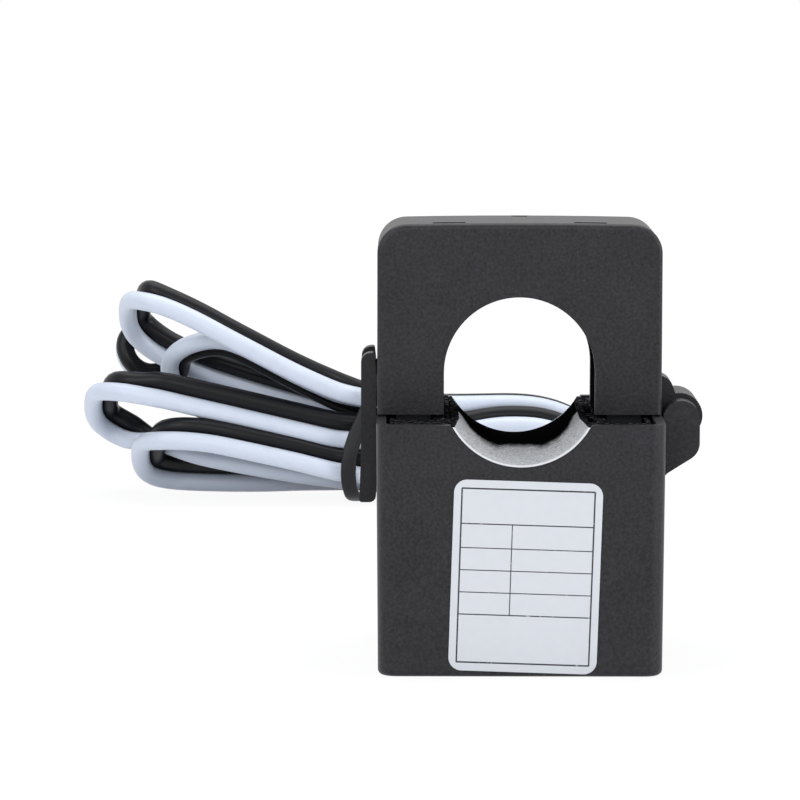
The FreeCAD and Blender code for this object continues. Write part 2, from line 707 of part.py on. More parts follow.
def rating_label():
    """Thin label that follows the front face and the start of its rounded base edge."""
    corners = [
        (-LABEL_W / 2, -LABEL_H / 2, LABEL_R),
        (LABEL_W / 2, -LABEL_H / 2, LABEL_R),
        (LABEL_W / 2, LABEL_H / 2, LABEL_R),
        (-LABEL_W / 2, LABEL_H / 2, LABEL_R),
    ]
    blank = side_prism(corners, -BODY_Y - OVER, -CAVITY_Y)
    blank.rotate(Vector(0, 0, 0), BACK, LABEL_TURN)
    blank.translate(Vector(LABEL_X, 0, LABEL_Z))
    return blank.common(body_block(LABEL_T)).cut(body_block())


def hinge_pin():
    """Steel pin, pressed into both ears."""
    return hinge_cylinder(PIN_R, FRONT_EAR_Y - EAR_T + EAR_SKIN, REAR_EAR_Y + EAR_T)


def slab_block():
    """Outer form of the upper shell: a slab with a slightly crowned top and rounded edges."""
    left_top = Vector(-SLAB_X, -SLAB_Y, SLAB_SIDE_Z)
    right_top = Vector(SLAB_X, -SLAB_Y, SLAB_SIDE_Z)
    left_low = Vector(-SLAB_X, -SLAB_Y, SLAB_BOTTOM_Z)
    right_low = Vector(SLAB_X, -SLAB_Y, SLAB_BOTTOM_Z)
    crown = Vector(0, -SLAB_Y, SLAB_TOP_Z)
    edges = [
        Part.makeLine(left_top, left_low),
        Part.makeLine(left_low, right_low),
        Part.makeLine(right_low, right_top),
        Part.Arc(right_top, crown, left_top).toShape(),
    ]
    block = Part.Face(Part.Wire(edges)).extrude(Vector(0, 2 * SLAB_Y, 0))
    top_corners = [
        edge for edge in block.Edges
        if edge.BoundBox.YLength > SLAB_Y and edge.BoundBox.ZMin > SLAB_BOTTOM_Z + OVER
    ]
    block = block.makeFillet(SLAB_CORNER_R, top_corners)
    rims = [
        edge for edge in block.Edges
        if edge.BoundBox.YLength < 0.01 and edge.BoundBox.ZMax > SLAB_BOTTOM_Z + OVER
    ]
    return block.makeFillet(SLAB_EDGE_R, rims)


def window_prism(radius, y0, y1):
    """Arch with straight sides, open at the bottom, as a solid."""
    low = SLAB_BOTTOM_Z - OVER
    left_low = Vector(-radius, y0, low)
    right_low = Vector(radius, y0, low)
    left_spring = Vector(-radius, y0, WINDOW_AXIS_Z)
    right_spring = Vector(radius, y0, WINDOW_AXIS_Z)
    crown = Vector(0, y0, WINDOW_AXIS_Z + radius)
    edges = [
        Part.makeLine(left_low, right_low),
        Part.makeLine(right_low, right_spring),
        Part.Arc(right_spring, crown, left_spring).toShape(),
        Part.makeLine(left_spring, left_low),
    ]
    return Part.Face(Part.Wire(edges)).extrude(Vector(0, y1 - y0, 0))


def hinge_arm():
    """Knuckle of the upper half and the rounded arm that carries it."""
    root = SLAB_X - SLAB_SIDE_WALL / 2
    arm = side_prism(
        [
            (root, SLAB_BOTTOM_Z, 0),
            (HINGE_X, SLAB_BOTTOM_Z, 0),
            (HINGE_X, HINGE_Z + PIN_R, 0),
            (HINGE_X - ARM_NOTCH_IN, HINGE_Z + KNUCKLE_R, 0),
            (SLAB_X + ARM_SHOULDER_OUT, HINGE_Z + ARM_SHOULDER_RISE, ARM_SHOULDER_R),
            (root, HINGE_Z + ARM_ROOT_RISE, 0),
        ],
        -KNUCKLE_HALF, KNUCKLE_HALF,
    )
    return arm.fuse(hinge_cylinder(KNUCKLE_R, -KNUCKLE_HALF, KNUCKLE_HALF))


def arm_spots():
    """The liner's snap arms: centre x, width, and -1 for the front face or +1 for the rear."""
    return (
        (-ARM_FRONT_X, ARM_FRONT_W, -1),
        (ARM_FRONT_X, ARM_FRONT_W, -1),
        (ARM_BACK_X, ARM_BACK_W, 1),
    )


def span_box(x, width, y_a, y_b, z0, z1):
    """Block centred on x, between two depths given in either order."""
    return box(x - width / 2, x + width / 2, min(y_a, y_b), max(y_a, y_b), z0, z1)


def upper_shell():
    """Moulded arch half with a cavity open below, snap holes above, knuckle and latch groove."""
    shell = slab_block()
    cavity = side_prism(
        [
            (-SLAB_CAVITY_X, SLAB_BOTTOM_Z - OVER, 0),
            (SLAB_CAVITY_X, SLAB_BOTTOM_Z - OVER, 0),
            (SLAB_CAVITY_X, SLAB_CEILING_Z, SLAB_CAVITY_R),
            (-SLAB_CAVITY_X, SLAB_CEILING_Z, SLAB_CAVITY_R),
        ],
        -SLAB_CAVITY_Y, SLAB_CAVITY_Y,
    )
    rear_relief = hinge_cylinder(REAR_EAR_R + HINGE_CLEAR, KNUCKLE_HALF, REAR_EAR_Y + EAR_T + EAR_GAP)
    shell = shell.cut([cavity, window_prism(WINDOW_R, -SLAB_Y - OVER, SLAB_Y + OVER), rear_relief])
    shell = shell.fuse(hinge_arm())
    cuts = [hinge_cylinder(PIN_R + PIN_RUN_FIT, -KNUCKLE_HALF - OVER, KNUCKLE_HALF + OVER)]
    for x, width, side in arm_spots():
        outer = side * (SLAB_CAVITY_Y + ARM_HOOK + ARM_FIT)
        inner = side * (SLAB_CAVITY_Y - ARM_T - ARM_FIT)
        hole = span_box(
            x, width + 2 * ARM_FIT, outer, inner, SLAB_CEILING_Z - OVER, SLAB_TOP_Z + OVER)
        cuts.append(hole)
    groove = rod(BEAD_R + BEAD_FIT,
                 Vector(BEAD_X, -BEAD_HALF_Y - ARM_FIT, BEAD_Z),
                 Vector(BEAD_X, BEAD_HALF_Y + ARM_FIT, BEAD_Z))
    cuts.append(groove)
    return shell.cut(cuts)


def arch_liner():
    """Insert that forms the window's arch and holds the core by three snap arms."""
    reach = SLAB_CAVITY_Y - LINER_FIT
    liner = window_prism(LINER_R, -reach, reach)
    liner = liner.cut(window_prism(WINDOW_R, -reach - OVER, reach + OVER))
    below = box(-BODY_X, BODY_X, -reach, reach, SLAB_BOTTOM_Z - 2 * OVER, SLAB_BOTTOM_Z)
    liner = liner.cut(below)
    top = SLAB_SIDE_Z - ARM_TOP_DROP
    arms = []
    for x, width, side in arm_spots():
        outer = side * reach
        inner = side * (reach - ARM_T + LINER_FIT)
        arms.append(span_box(x, width, outer, inner, WINDOW_AXIS_Z, top))
        hook = side * (SLAB_CAVITY_Y + ARM_HOOK)
        arms.append(span_box(x, width, outer, hook, SLAB_SIDE_Z - ARM_HOOK_H, top))
    liner = liner.fuse(arms)
    return liner.cut(window_prism(WINDOW_R, -reach - OVER, reach + OVER))


def core_spring():
    """Arched leaf between the upper core's yoke and the shell's ceiling."""
    half = CORE_SPRING_L / 2
    ends = []
    for offset in (0, CORE_SPRING_T):
        low = UPPER_YOKE_TOP_Z + offset
        high = SLAB_CEILING_Z - CORE_SPRING_T + offset
        left = Vector(-half, -CORE_SPRING_W / 2, low)
        right = Vector(half, -CORE_SPRING_W / 2, low)
        ends.append((left, Part.Arc(left, Vector(0, -CORE_SPRING_W / 2, high), right).toShape(), right))
    (left_low, arc_low, right_low), (left_high, arc_high, right_high) = ends
    wire = Part.Wire([arc_low, Part.makeLine(right_low, right_high), arc_high,
                      Part.makeLine(left_high, left_low)])
    return Part.Face(wire).extrude(Vector(0, CORE_SPRING_W, 0))


def latch_lever():
    """Snap lever: a bead held in the upper shell's side, a long blade and a nose that hooks below."""
    blade = side_prism(
        [
            (LEVER_IN_X - LEVER_TOP_LEAN, LEVER_TOP_Z, LEVER_TOP_IN_R),
            (LEVER_OUT_X, LEVER_TOP_Z, LEVER_TOP_R),
            (LEVER_OUT_X, LEVER_KICK_Z, LEVER_KICK_R),
            (LEVER_OUT_X - LEVER_KICK, LEVER_BOTTOM_Z, LEVER_TIP_OUT_R),
            (LEVER_IN_X, LEVER_BOTTOM_Z, LEVER_TIP_IN_R),
            (LEVER_IN_X, BEAD_Z, 0),
        ],
        -LEVER_HALF_Y, LEVER_HALF_Y,
    )
    notch_y = LEVER_HALF_Y - LEVER_PRONG
    blade = blade.cut(box(
        LEVER_OUT_X - OVER, SLAB_X, -notch_y, notch_y, LEVER_TOP_Z - LEVER_NOTCH_DEPTH, LEVER_TOP_Z + OVER))
    neck = box(
        LEVER_IN_X - LEVER_T / 2, BEAD_X, -BEAD_HALF_Y, BEAD_HALF_Y,
        BEAD_Z - NECK_T / 2, BEAD_Z + NECK_T / 2,
    )
    bead = rod(BEAD_R, Vector(BEAD_X, -BEAD_HALF_Y, BEAD_Z), Vector(BEAD_X, BEAD_HALF_Y, BEAD_Z))
    tip = LEVER_IN_X + NOSE_REACH
    nose = side_prism(
        [
            (LEVER_IN_X - LEVER_T / 2, NOSE_Z, 0),
            (tip, NOSE_Z, 0),
            (tip, NOSE_Z - NOSE_LAND, 0),
            (LEVER_IN_X, NOSE_Z - NOSE_LAND - NOSE_REACH, 0),
            (LEVER_IN_X - LEVER_T / 2, NOSE_Z - NOSE_LAND - NOSE_REACH, 0),
        ],
        -NOSE_HALF_Y, NOSE_HALF_Y,
    )
    return blade.fuse([neck, bead, nose])


NODES = {
    "lower_shell": lower_shell,
    "saddle_cover": saddle_cover,
    "lower_core": lower_core,
    "coil_former_front": lambda: former_half(-1),
    "coil_former_rear": lambda: former_half(1),
    "winding": winding,
    "winding_tape": winding_tape,
    "terminal_board": terminal_board,
    "clamp_diode": clamp_diode,
    "winding_start_wire": lambda: coil_end_wire(-COIL_WIRE_X),
    "winding_finish_wire": lambda: coil_end_wire(COIL_WIRE_X),
    "lead_tail_white": lambda: lead_tail(LEAD_X - WIRE_D / 2),
    "lead_tail_black": lambda: lead_tail(LEAD_X + WIRE_D / 2),
    "strain_relief": strain_relief,
    "lead_cord": lead_cord,
    "lead_hank": lead_hank,
    "hank_tie": hank_tie,
    "rating_label": rating_label,
    "hinge_pin": hinge_pin,
    "upper_shell": upper_shell,
    "arch_liner": arch_liner,
    "upper_core": upper_core,
    "core_spring": core_spring,
    "latch_lever": latch_lever,
}


def main():
    """Build every piece and write it to its own file."""
    os.makedirs("parts", exist_ok=True)
    for name, build in NODES.items():
        shape = build().removeSplitter()
        solids = shape.Solids
        print(name, "solids", len(solids), "valid", shape.isValid(), "volume", round(shape.Volume, 2))
        shape = solids[0] if len(solids) == 1 else Part.makeCompound(solids)
        shape.exportStep(os.path.join("parts", name + ".step"))


main()
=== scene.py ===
"""Split-core current transformer: finishes, lead, tie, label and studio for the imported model.

Metres, +Z up, in the same frame as the solids. The label faces -Y, the hinge is at +X and the
latch lever at -X.
"""

import logging
import math
from dataclasses import dataclass, field
from enum import Enum

import bmesh
import bpy
from bmesh.types import BMesh, BMFace, BMVert
from bpy.types import ID, Material, Mesh, Node, NodeSocket as Socket, NodeTree, Object
from mathutils import Matrix, Vector


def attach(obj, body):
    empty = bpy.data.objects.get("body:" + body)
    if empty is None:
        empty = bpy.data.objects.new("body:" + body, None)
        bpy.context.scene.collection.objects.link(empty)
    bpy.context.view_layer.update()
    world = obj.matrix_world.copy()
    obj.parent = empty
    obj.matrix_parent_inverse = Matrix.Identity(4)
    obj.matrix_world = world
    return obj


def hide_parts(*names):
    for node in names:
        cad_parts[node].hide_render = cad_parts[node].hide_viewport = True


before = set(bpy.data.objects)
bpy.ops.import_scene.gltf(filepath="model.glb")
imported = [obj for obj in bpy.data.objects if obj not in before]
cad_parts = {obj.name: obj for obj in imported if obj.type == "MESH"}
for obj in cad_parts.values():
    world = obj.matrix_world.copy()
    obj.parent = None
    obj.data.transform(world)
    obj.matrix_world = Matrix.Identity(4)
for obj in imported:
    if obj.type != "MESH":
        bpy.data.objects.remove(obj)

LOG = logging.getLogger("current_transformer")
MM = 0.001
RIGHT_ANGLE = 90.0
NOISE_MEAN = 0.5

Point = tuple[float, float, float]

# Saddle: places in millimetres. A pair of numbers says where a mask begins and where it is full.
WINDOW_AXIS_Z = 31.95
# Painted light: the throat is painted black as shade and the flare pale as a reflection, split by a
# ragged edge
REFLECTION_EDGE_REACH = (  # degrees from straight down, then how deep the painted reflection on the pale flare starts from the middle
    (0, 5.4), (8, 6.0), (12, 7.4), (17, 9.2), (22, 8.9), (29, 8.6), (35, 7.5), (41, 5.8), (49, 1.0),
    (60, 0.0))
REFLECTION_EDGE_SCALE = 12.0
REAR_REFLECTION_REACH = 19.0
REAR_REFLECTION_HALF = (-0.1, 0.1)
REFLECTION_EDGE_RAGGED = 3.4
REFLECTION_EDGE_GRAIN = 0.0006
REFLECTION_EDGE_FADE = (-3.0, 1.3)
# Pale painted reflection on the flare, clean and scuffed, its own dark specks, and painted black
# shade in the throat
FLARE_PAINTED_REFLECTION = (0.74, 0.75, 0.765)
FLARE_SCUFFED_REFLECTION = (0.38, 0.385, 0.395)
FLARE_SPECK = (0.06, 0.06, 0.06)
THROAT_PAINTED_SHADE = (0.003, 0.003, 0.0035)
THROAT_ROUGHNESS = 0.6
FLARE_SMOOTHER = -0.1
SCUFFS = (0.0003, 4.0, 0.3, 0.75)  # noise: size in metres, detail, where its mask begins, is full
SPECKS = (0.0007, 2.0, 0.27, 0.33)
# Painted highlights along the front lip and the rear rim of the throat
LIP_HIGHLIGHT_DEPTH = (15.32, 15.4)
REAR_RIM_HIGHLIGHT_DEPTH = (14.4, 14.7)
REAR_RIM_HIGHLIGHT_DEGREES = (20.0, 34.0)
LIP_HIGHLIGHT_COLOUR = (0.8, 0.81, 0.83)
DECK_FACING = (0.93, 0.97)
DECK_ABOVE = (26.0, 26.2)
WALL_FACING = (0.3, 0.2)
WALL_WITHIN = (15.1, 14.9)
DECK_CHIP = (0.16, 0.16, 0.165)
CHIPS = (0.0005, 4.0, 0.5, 0.72)
# Painted shade in the pockets below the deck
POCKET_SHADE_BELOW = (26.75, 26.6)
POCKET_PAINTED_SHADE = (0.003, 0.003, 0.003)

# Core: thickness of a sheet in millimetres, masks and colours of the ground ends
SHEET_T = 0.5
POLE_FACING = (0.97, 0.99)
SHEET_JOINT = (0.75, 0.98)
SHEET_GROUND = (0.5, 0.49, 0.48)
SHEET_GAP = (0.1, 0.09, 0.085)

# Label: its middle, its turn in degrees, and its lines in millimetres from that middle
LABEL_X = 0.5
LABEL_Z = 10.875
LABEL_TURN = 1.8
RULES = (  # direction, place across it, start, end, half width
    *(("level", place, -7.1, 7.1, half) for place, half in (
        (9.4, 0.07), (-9.4, 0.07), (5.6, 0.05), (3.0, 0.04), (0.6, 0.04), (-1.8, 0.04),
        (-4.2, 0.05))),
    *(("upright", place, -9.4, 9.4, 0.07) for place in (-7.1, 7.1)),
    ("upright", -1.6, -4.2, 5.6, 0.04),
)
RULE_SOFT = 0.03
RULE_END_SOFT = 0.02
INK = (0.02, 0.02, 0.024)
INK_WEAR = (0.0004, 3.0, 0.2, 0.4)

# Relief that every finish shares
BROAD_SCALE = 160.0
BROAD_SHARE = 0.4
RELIEF_MEAN = 0.7
MOTTLE_GAIN = 2.0
GLOSS_SWING = 0.12
GROUND_STRETCH = (1.0, 0.08, 1.0)

# Studio, in metres and watts
SENSOR = 36.0
CLIP = (0.01, 20.0)
WHITE = (1.0, 1.0, 1.0, 1.0)
FLOOR_COLOUR = (0.85, 0.85, 0.86, 1.0)
FLOOR_GLOW = 1.03
FLOOR_REACH = 3.0
FLOOR_DROP = 0.00005
FLOOR_FADE = {"From_Min": 0.2, "From_Max": 0.5, "To_Min": 0.9, "To_Max": 1.0}
ROOM_COLOUR = (0.9, 0.94, 1.0, 1.0)
ROOM_LIGHT = 0.4
LAMPS = (  # name, where it stands, what it points at, width and height, power
    ("top_light", (0.0, 0.15, 0.6), (0.0, 0.03, 0.02), (0.7, 0.5), 2.7),
    ("left_light", (-0.55, -0.45, 0.35), (0.0, 0.0, 0.02), (0.3, 0.5), 1.4),
    ("right_light", (0.6, -0.25, 0.25), (0.0, 0.0, 0.025), (0.25, 0.5), 1.6),
    ("front_light", (-0.1, -0.75, 0.3), (-0.02, 0.06, 0.02), (0.35, 0.25), 0.9),
)


def placed(name: str, data: ID) -> Object:
    """Put a new object into the scene.

    Args:
        name: Its name.
        data: Its mesh, curve, camera or light.

    Returns:
        The object, at the origin.
    """
    obj = bpy.data.objects.new(name, data)
    bpy.context.scene.collection.objects.link(obj)
    return obj


def frozen_mesh(obj: Object) -> Mesh:
    """Read an object's evaluated mesh and remove the object.

    Args:
        obj: A curve, or a mesh with modifiers.

    Returns:
        The plain mesh.
    """
    graph = bpy.context.evaluated_depsgraph_get()
    graph.update()
    mesh = bpy.data.meshes.new_from_object(obj.evaluated_get(graph))
    bpy.data.objects.remove(obj)
    return mesh


def finished_mesh(name: str, shape: BMesh, smooth: bool = True) -> Object:
    """Turn a bmesh into an object with outward normals.

    Args:
        name: Name of the new object.
        shape: The bmesh, which is freed.
        smooth: Whether its faces are shaded smooth.

    Returns:
        The new object.
    """
    bmesh.ops.recalc_face_normals(shape, faces=shape.faces)
    for face in shape.faces:
        face.smooth = smooth
    mesh = bpy.data.meshes.new(name)
    shape.to_mesh(mesh)
    shape.free()
    return placed(name, mesh)


def bridge_rings(shape: BMesh, rings: list[list[BMVert]], closed: bool = False) -> list[BMFace]:
    """Join neighbouring rings of vertices with faces.

    Args:
        shape: The bmesh that holds the rings.
        rings: Rings of the same vertex count, in order.
        closed: Whether the last ring joins the first.

    Returns:
        The new faces.
    """
    pairs = zip(rings, rings[1:] + rings[:1] if closed else rings[1:])
    return [shape.faces.new((low[side], low[side + 1], high[side + 1], high[side]))
            for low, high in pairs for side in range(-len(low), 0)]


def heading(line: list[Vector], index: int) -> Vector:
    """Give the direction of an open line at one of its points.

    Args:
        line: Its points.
        index: Which point.

    Returns:
        The unit direction.
    """
    return (line[min(index + 1, len(line) - 1)] - line[max(index - 1, 0)]).normalized()


def square_part(vector: Vector, along: Vector) -> Vector:
    """Take out of a vector what runs along a direction.

    Args:
        vector: The vector.
        along: The unit direction.

    Returns:
        The part that is square to it.
    """
    return vector - along * vector.dot(along)


def node_group(name: str, kind: str, given: dict[str, str], made: dict[str, str]) -> NodeTree:
    """Start a node group.

    Args:
        name: Its name.
        kind: Type of its tree.
        given: Kind of each input by its name.
        made: Kind of each output by its name.

    Returns:
        The group, with its sockets and no nodes.
    """
    tree = bpy.data.node_groups.new(name, kind)
    for direction, sockets in (("INPUT", given), ("OUTPUT", made)):
        for label, sort in sockets.items():
            tree.interface.new_socket(name=label, in_out=direction,
                                      socket_type="NodeSocket" + sort)
    return tree


class Grain(Enum):
    """How a surface was made, which sets the pattern of its relief."""

    SPARKED = "spark-eroded mould"
    POLISHED = "polished mould"
    EXTRUDED = "extruded insulation"
    GROUND = "ground metal"
    FILM = "printed film"
    VARNISHED = "varnished laminations with ground ends"


@dataclass(frozen=True)
class Finish:
    """One finish: its colour, gloss and relief.

    Args:
        name: Its name.
        colour: Linear base colour.
        roughness: Mean roughness.
        grain: How the surface was made.
        grain_size: Width of one grain in metres.
        relief: Depth of the relief in metres.
        mottle: How strongly the colour varies, 0 for not at all.
        specular: Specular level.
        metallic: 1 for bare metal.
    """

    name: str
    colour: Point
    roughness: float
    grain: Grain
    grain_size: float
    relief: float
    mottle: float
    specular: float = 0.5
    metallic: float = 0.0


FINISHES = {finish.name: finish for finish in (
    Finish("housing", (0.0135, 0.0132, 0.0168), 0.44, Grain.SPARKED, 0.00036, 3e-5, 1.9, 0.33),
    Finish("latch", (0.0085, 0.0085, 0.0108), 0.42, Grain.SPARKED, 0.0004, 2e-5, 1.5, 0.31),
    Finish("saddle_gloss", (0.007, 0.007, 0.008), 0.5, Grain.POLISHED, 0.0005, 2e-5, 0.3, 0.0),
    Finish("arch_liner", (0.006, 0.006, 0.007), 0.5, Grain.SPARKED, 0.0004, 3e-5, 0.9, 0.0),
    Finish("core_steel", (0.012, 0.014, 0.022), 0.42, Grain.VARNISHED, 0.0003, 8e-6, 0.3),
    Finish("former", (0.62, 0.6, 0.52), 0.45, Grain.POLISHED, 0.0005, 6e-6, 0.08),
    Finish("copper_wire", (0.62, 0.24, 0.09), 0.28, Grain.GROUND, 0.0002, 4e-6, 0.15, 0.5, 1.0),
    Finish("tape", (0.62, 0.46, 0.06), 0.25, Grain.FILM, 0.0008, 6e-6, 0.08),
    Finish("board", (0.03, 0.16, 0.06), 0.3, Grain.POLISHED, 0.0006, 6e-6, 0.12),
    Finish("diode", (0.02, 0.02, 0.022), 0.5, Grain.SPARKED, 0.0002, 6e-6, 0.1),
    Finish("wire_white", (0.66, 0.72, 0.83), 0.36, Grain.EXTRUDED, 0.0016, 2e-5, 0.05),
    Finish("wire_black", (0.0038, 0.0041, 0.006), 0.34, Grain.EXTRUDED, 0.0016, 2e-5, 0.25, 0.22),
    Finish("bush", (0.02, 0.02, 0.021), 0.6, Grain.SPARKED, 0.0003, 1e-5, 0.15),
    Finish("tie", (0.0065, 0.0068, 0.0085), 0.42, Grain.POLISHED, 0.0005, 2e-5, 0.25, 0.28),
    Finish("label", (0.72, 0.74, 0.78), 0.33, Grain.FILM, 0.0012, 4e-6, 0.03),
    Finish("pin_steel", (0.5, 0.5, 0.5), 0.3, Grain.GROUND, 0.0001, 3e-6, 0.15, 0.5, 1.0),
    Finish("spring_steel", (0.4, 0.4, 0.41), 0.3, Grain.GROUND, 0.0002, 3e-6, 0.15, 0.5, 1.0),
)}


class NodeBench:
    """Small helper that places and joins nodes in one tree."""

    def __init__(self, tree: NodeTree) -> None:
        """Keep the tree to work on.

        Args:
            tree: Where the nodes go.
        """
        self.tree = tree

    def feed(self, target: Socket, value: object) -> None:
        """Link an input, or give it a plain value.

        Args:
            target: The input.
            value: Output of another node, a node for its first output, or the value.
        """
        if isinstance(value, (Node, Socket)):
            source = value.outputs[0] if isinstance(value, Node) else value
            self.tree.links.new(source, target)
        else:
            target.default_value = value

    def add(self, kind: str, **values: object) -> Node:
        """Place a node and set its fields and inputs.

        Args:
            kind: Node type.
            values: Fields, or inputs with their spaces written as underscores.

        Returns:
            The new node.
        """
        node = self.tree.nodes.new(kind)
        for key, value in values.items():
            if hasattr(node, key) and key not in node.inputs:
                setattr(node, key, value)
            else:
                self.feed(node.inputs[key.replace("_", " ")], value)
        return node

    def sum_of(self, operation: str, *terms: Socket | float) -> Socket:
        """Place a Math node.

        Args:
            operation: Its operation.
            terms: Sockets or plain numbers, in order.

        Returns:
            Its result.
        """
        node = self.add("ShaderNodeMath", operation=operation)
        for socket, term in zip(node.inputs, terms):
            self.feed(socket, term)
        return node.outputs[0]

    def ramp(self, value: Socket, low: float, high: float) -> Socket:
        """Turn a value into a smooth mask.

        Args:
            value: What is read.
            low: Where the mask is 0.
            high: Where the mask is 1.

        Returns:
            The mask.
        """
        node = self.add("ShaderNodeMapRange", interpolation_type="SMOOTHSTEP", Value=value,
                        From_Min=min(low, high), From_Max=max(low, high),
                        To_Min=float(low > high), To_Max=float(low < high))
        return node.outputs[0]

    def blend(self, mask: Socket, first: Socket | Point, second: Socket | Point) -> Socket:
        """Mix two colours by a mask.

        Args:
            mask: 0 for the first colour, 1 for the second.
            first: Socket or colour.
            second: Socket or colour.

        Returns:
            The mixed colour.
        """
        node = self.add("ShaderNodeMix", data_type="RGBA")
        self.feed(node.inputs[0], mask)
        sockets = [socket for socket in node.inputs if socket.type == "RGBA"]
        for socket, colour in zip(sockets, (first, second)):
            self.feed(socket, colour if isinstance(colour, Socket) else (*colour, 1.0))
        return next(socket for socket in node.outputs if socket.type == "RGBA")

    def axes_of(self, vector: Socket) -> tuple[Socket, ...]:
        """Split a vector.

        Args:
            vector: What is split.

        Returns:
            X, Y and Z.
        """
        return tuple(self.add("ShaderNodeSeparateXYZ", Vector=vector).outputs)

    def place(self) -> Socket:
        """Give the place on the object.

        Returns:
            The place in metres.
        """
        return self.add("ShaderNodeTexCoord").outputs["Object"]

    def millimetre_axes(self) -> tuple[Socket, ...]:
        """Give the place on the object in millimetres.

        Returns:
            X, Y and Z.
        """
        scaled = self.add("ShaderNodeVectorMath", operation="SCALE", Vector=self.place(),
                          Scale=1 / MM)
        return self.axes_of(scaled.outputs[0])

    def facing_up(self) -> Socket:
        """Give how far the surface faces up.

        Returns:
            1 for up, -1 for down.
        """
        return self.axes_of(self.add("ShaderNodeNewGeometry").outputs["Normal"])[2]

    def noise(self, size: float, detail: float) -> Socket:
        """Give a noise value around 0.5.

        Args:
            size: Width of its blobs in metres.
            detail: Its detail.

        Returns:
            The value.
        """
        grain = self.add("ShaderNodeTexNoise", Scale=1 / size, Detail=detail, Roughness=0.65,
                         Vector=self.place())
        return grain.outputs["Fac"]

    def speckle(self, size: float, detail: float, low: float, high: float) -> Socket:
        """Turn noise into a mask.

        Args:
            size: Width of its blobs in metres.
            detail: Its detail.
            low: Where the mask is 0.
            high: Where the mask is 1.

        Returns:
            The mask.
        """
        return self.ramp(self.noise(size, detail), low, high)

    def seen(self) -> Socket:
        """Tell what is seen, also in a mirror or through glass, from what only gives light.

        Returns:
            1 for what is seen.
        """
        path = self.add("ShaderNodeLightPath").outputs
        straight = self.sum_of("MAXIMUM", path["Is Camera Ray"], path["Is Glossy Ray"])
        return self.sum_of("MAXIMUM", straight, path["Is Transmission Ray"])

    def finish_with(self, out: str, share: Socket, first: Node, second: Node) -> None:
        """End the tree with two mixed shaders.

        Args:
            out: Type of the tree's output node.
            share: 0 for the first shader, 1 for the second.
            first: Shader node.
            second: Shader node.
        """
        mixed = self.add("ShaderNodeMixShader")
        for socket, source in zip(mixed.inputs, (share, first, second)):
            self.feed(socket, source)
        self.add(out, Surface=mixed)


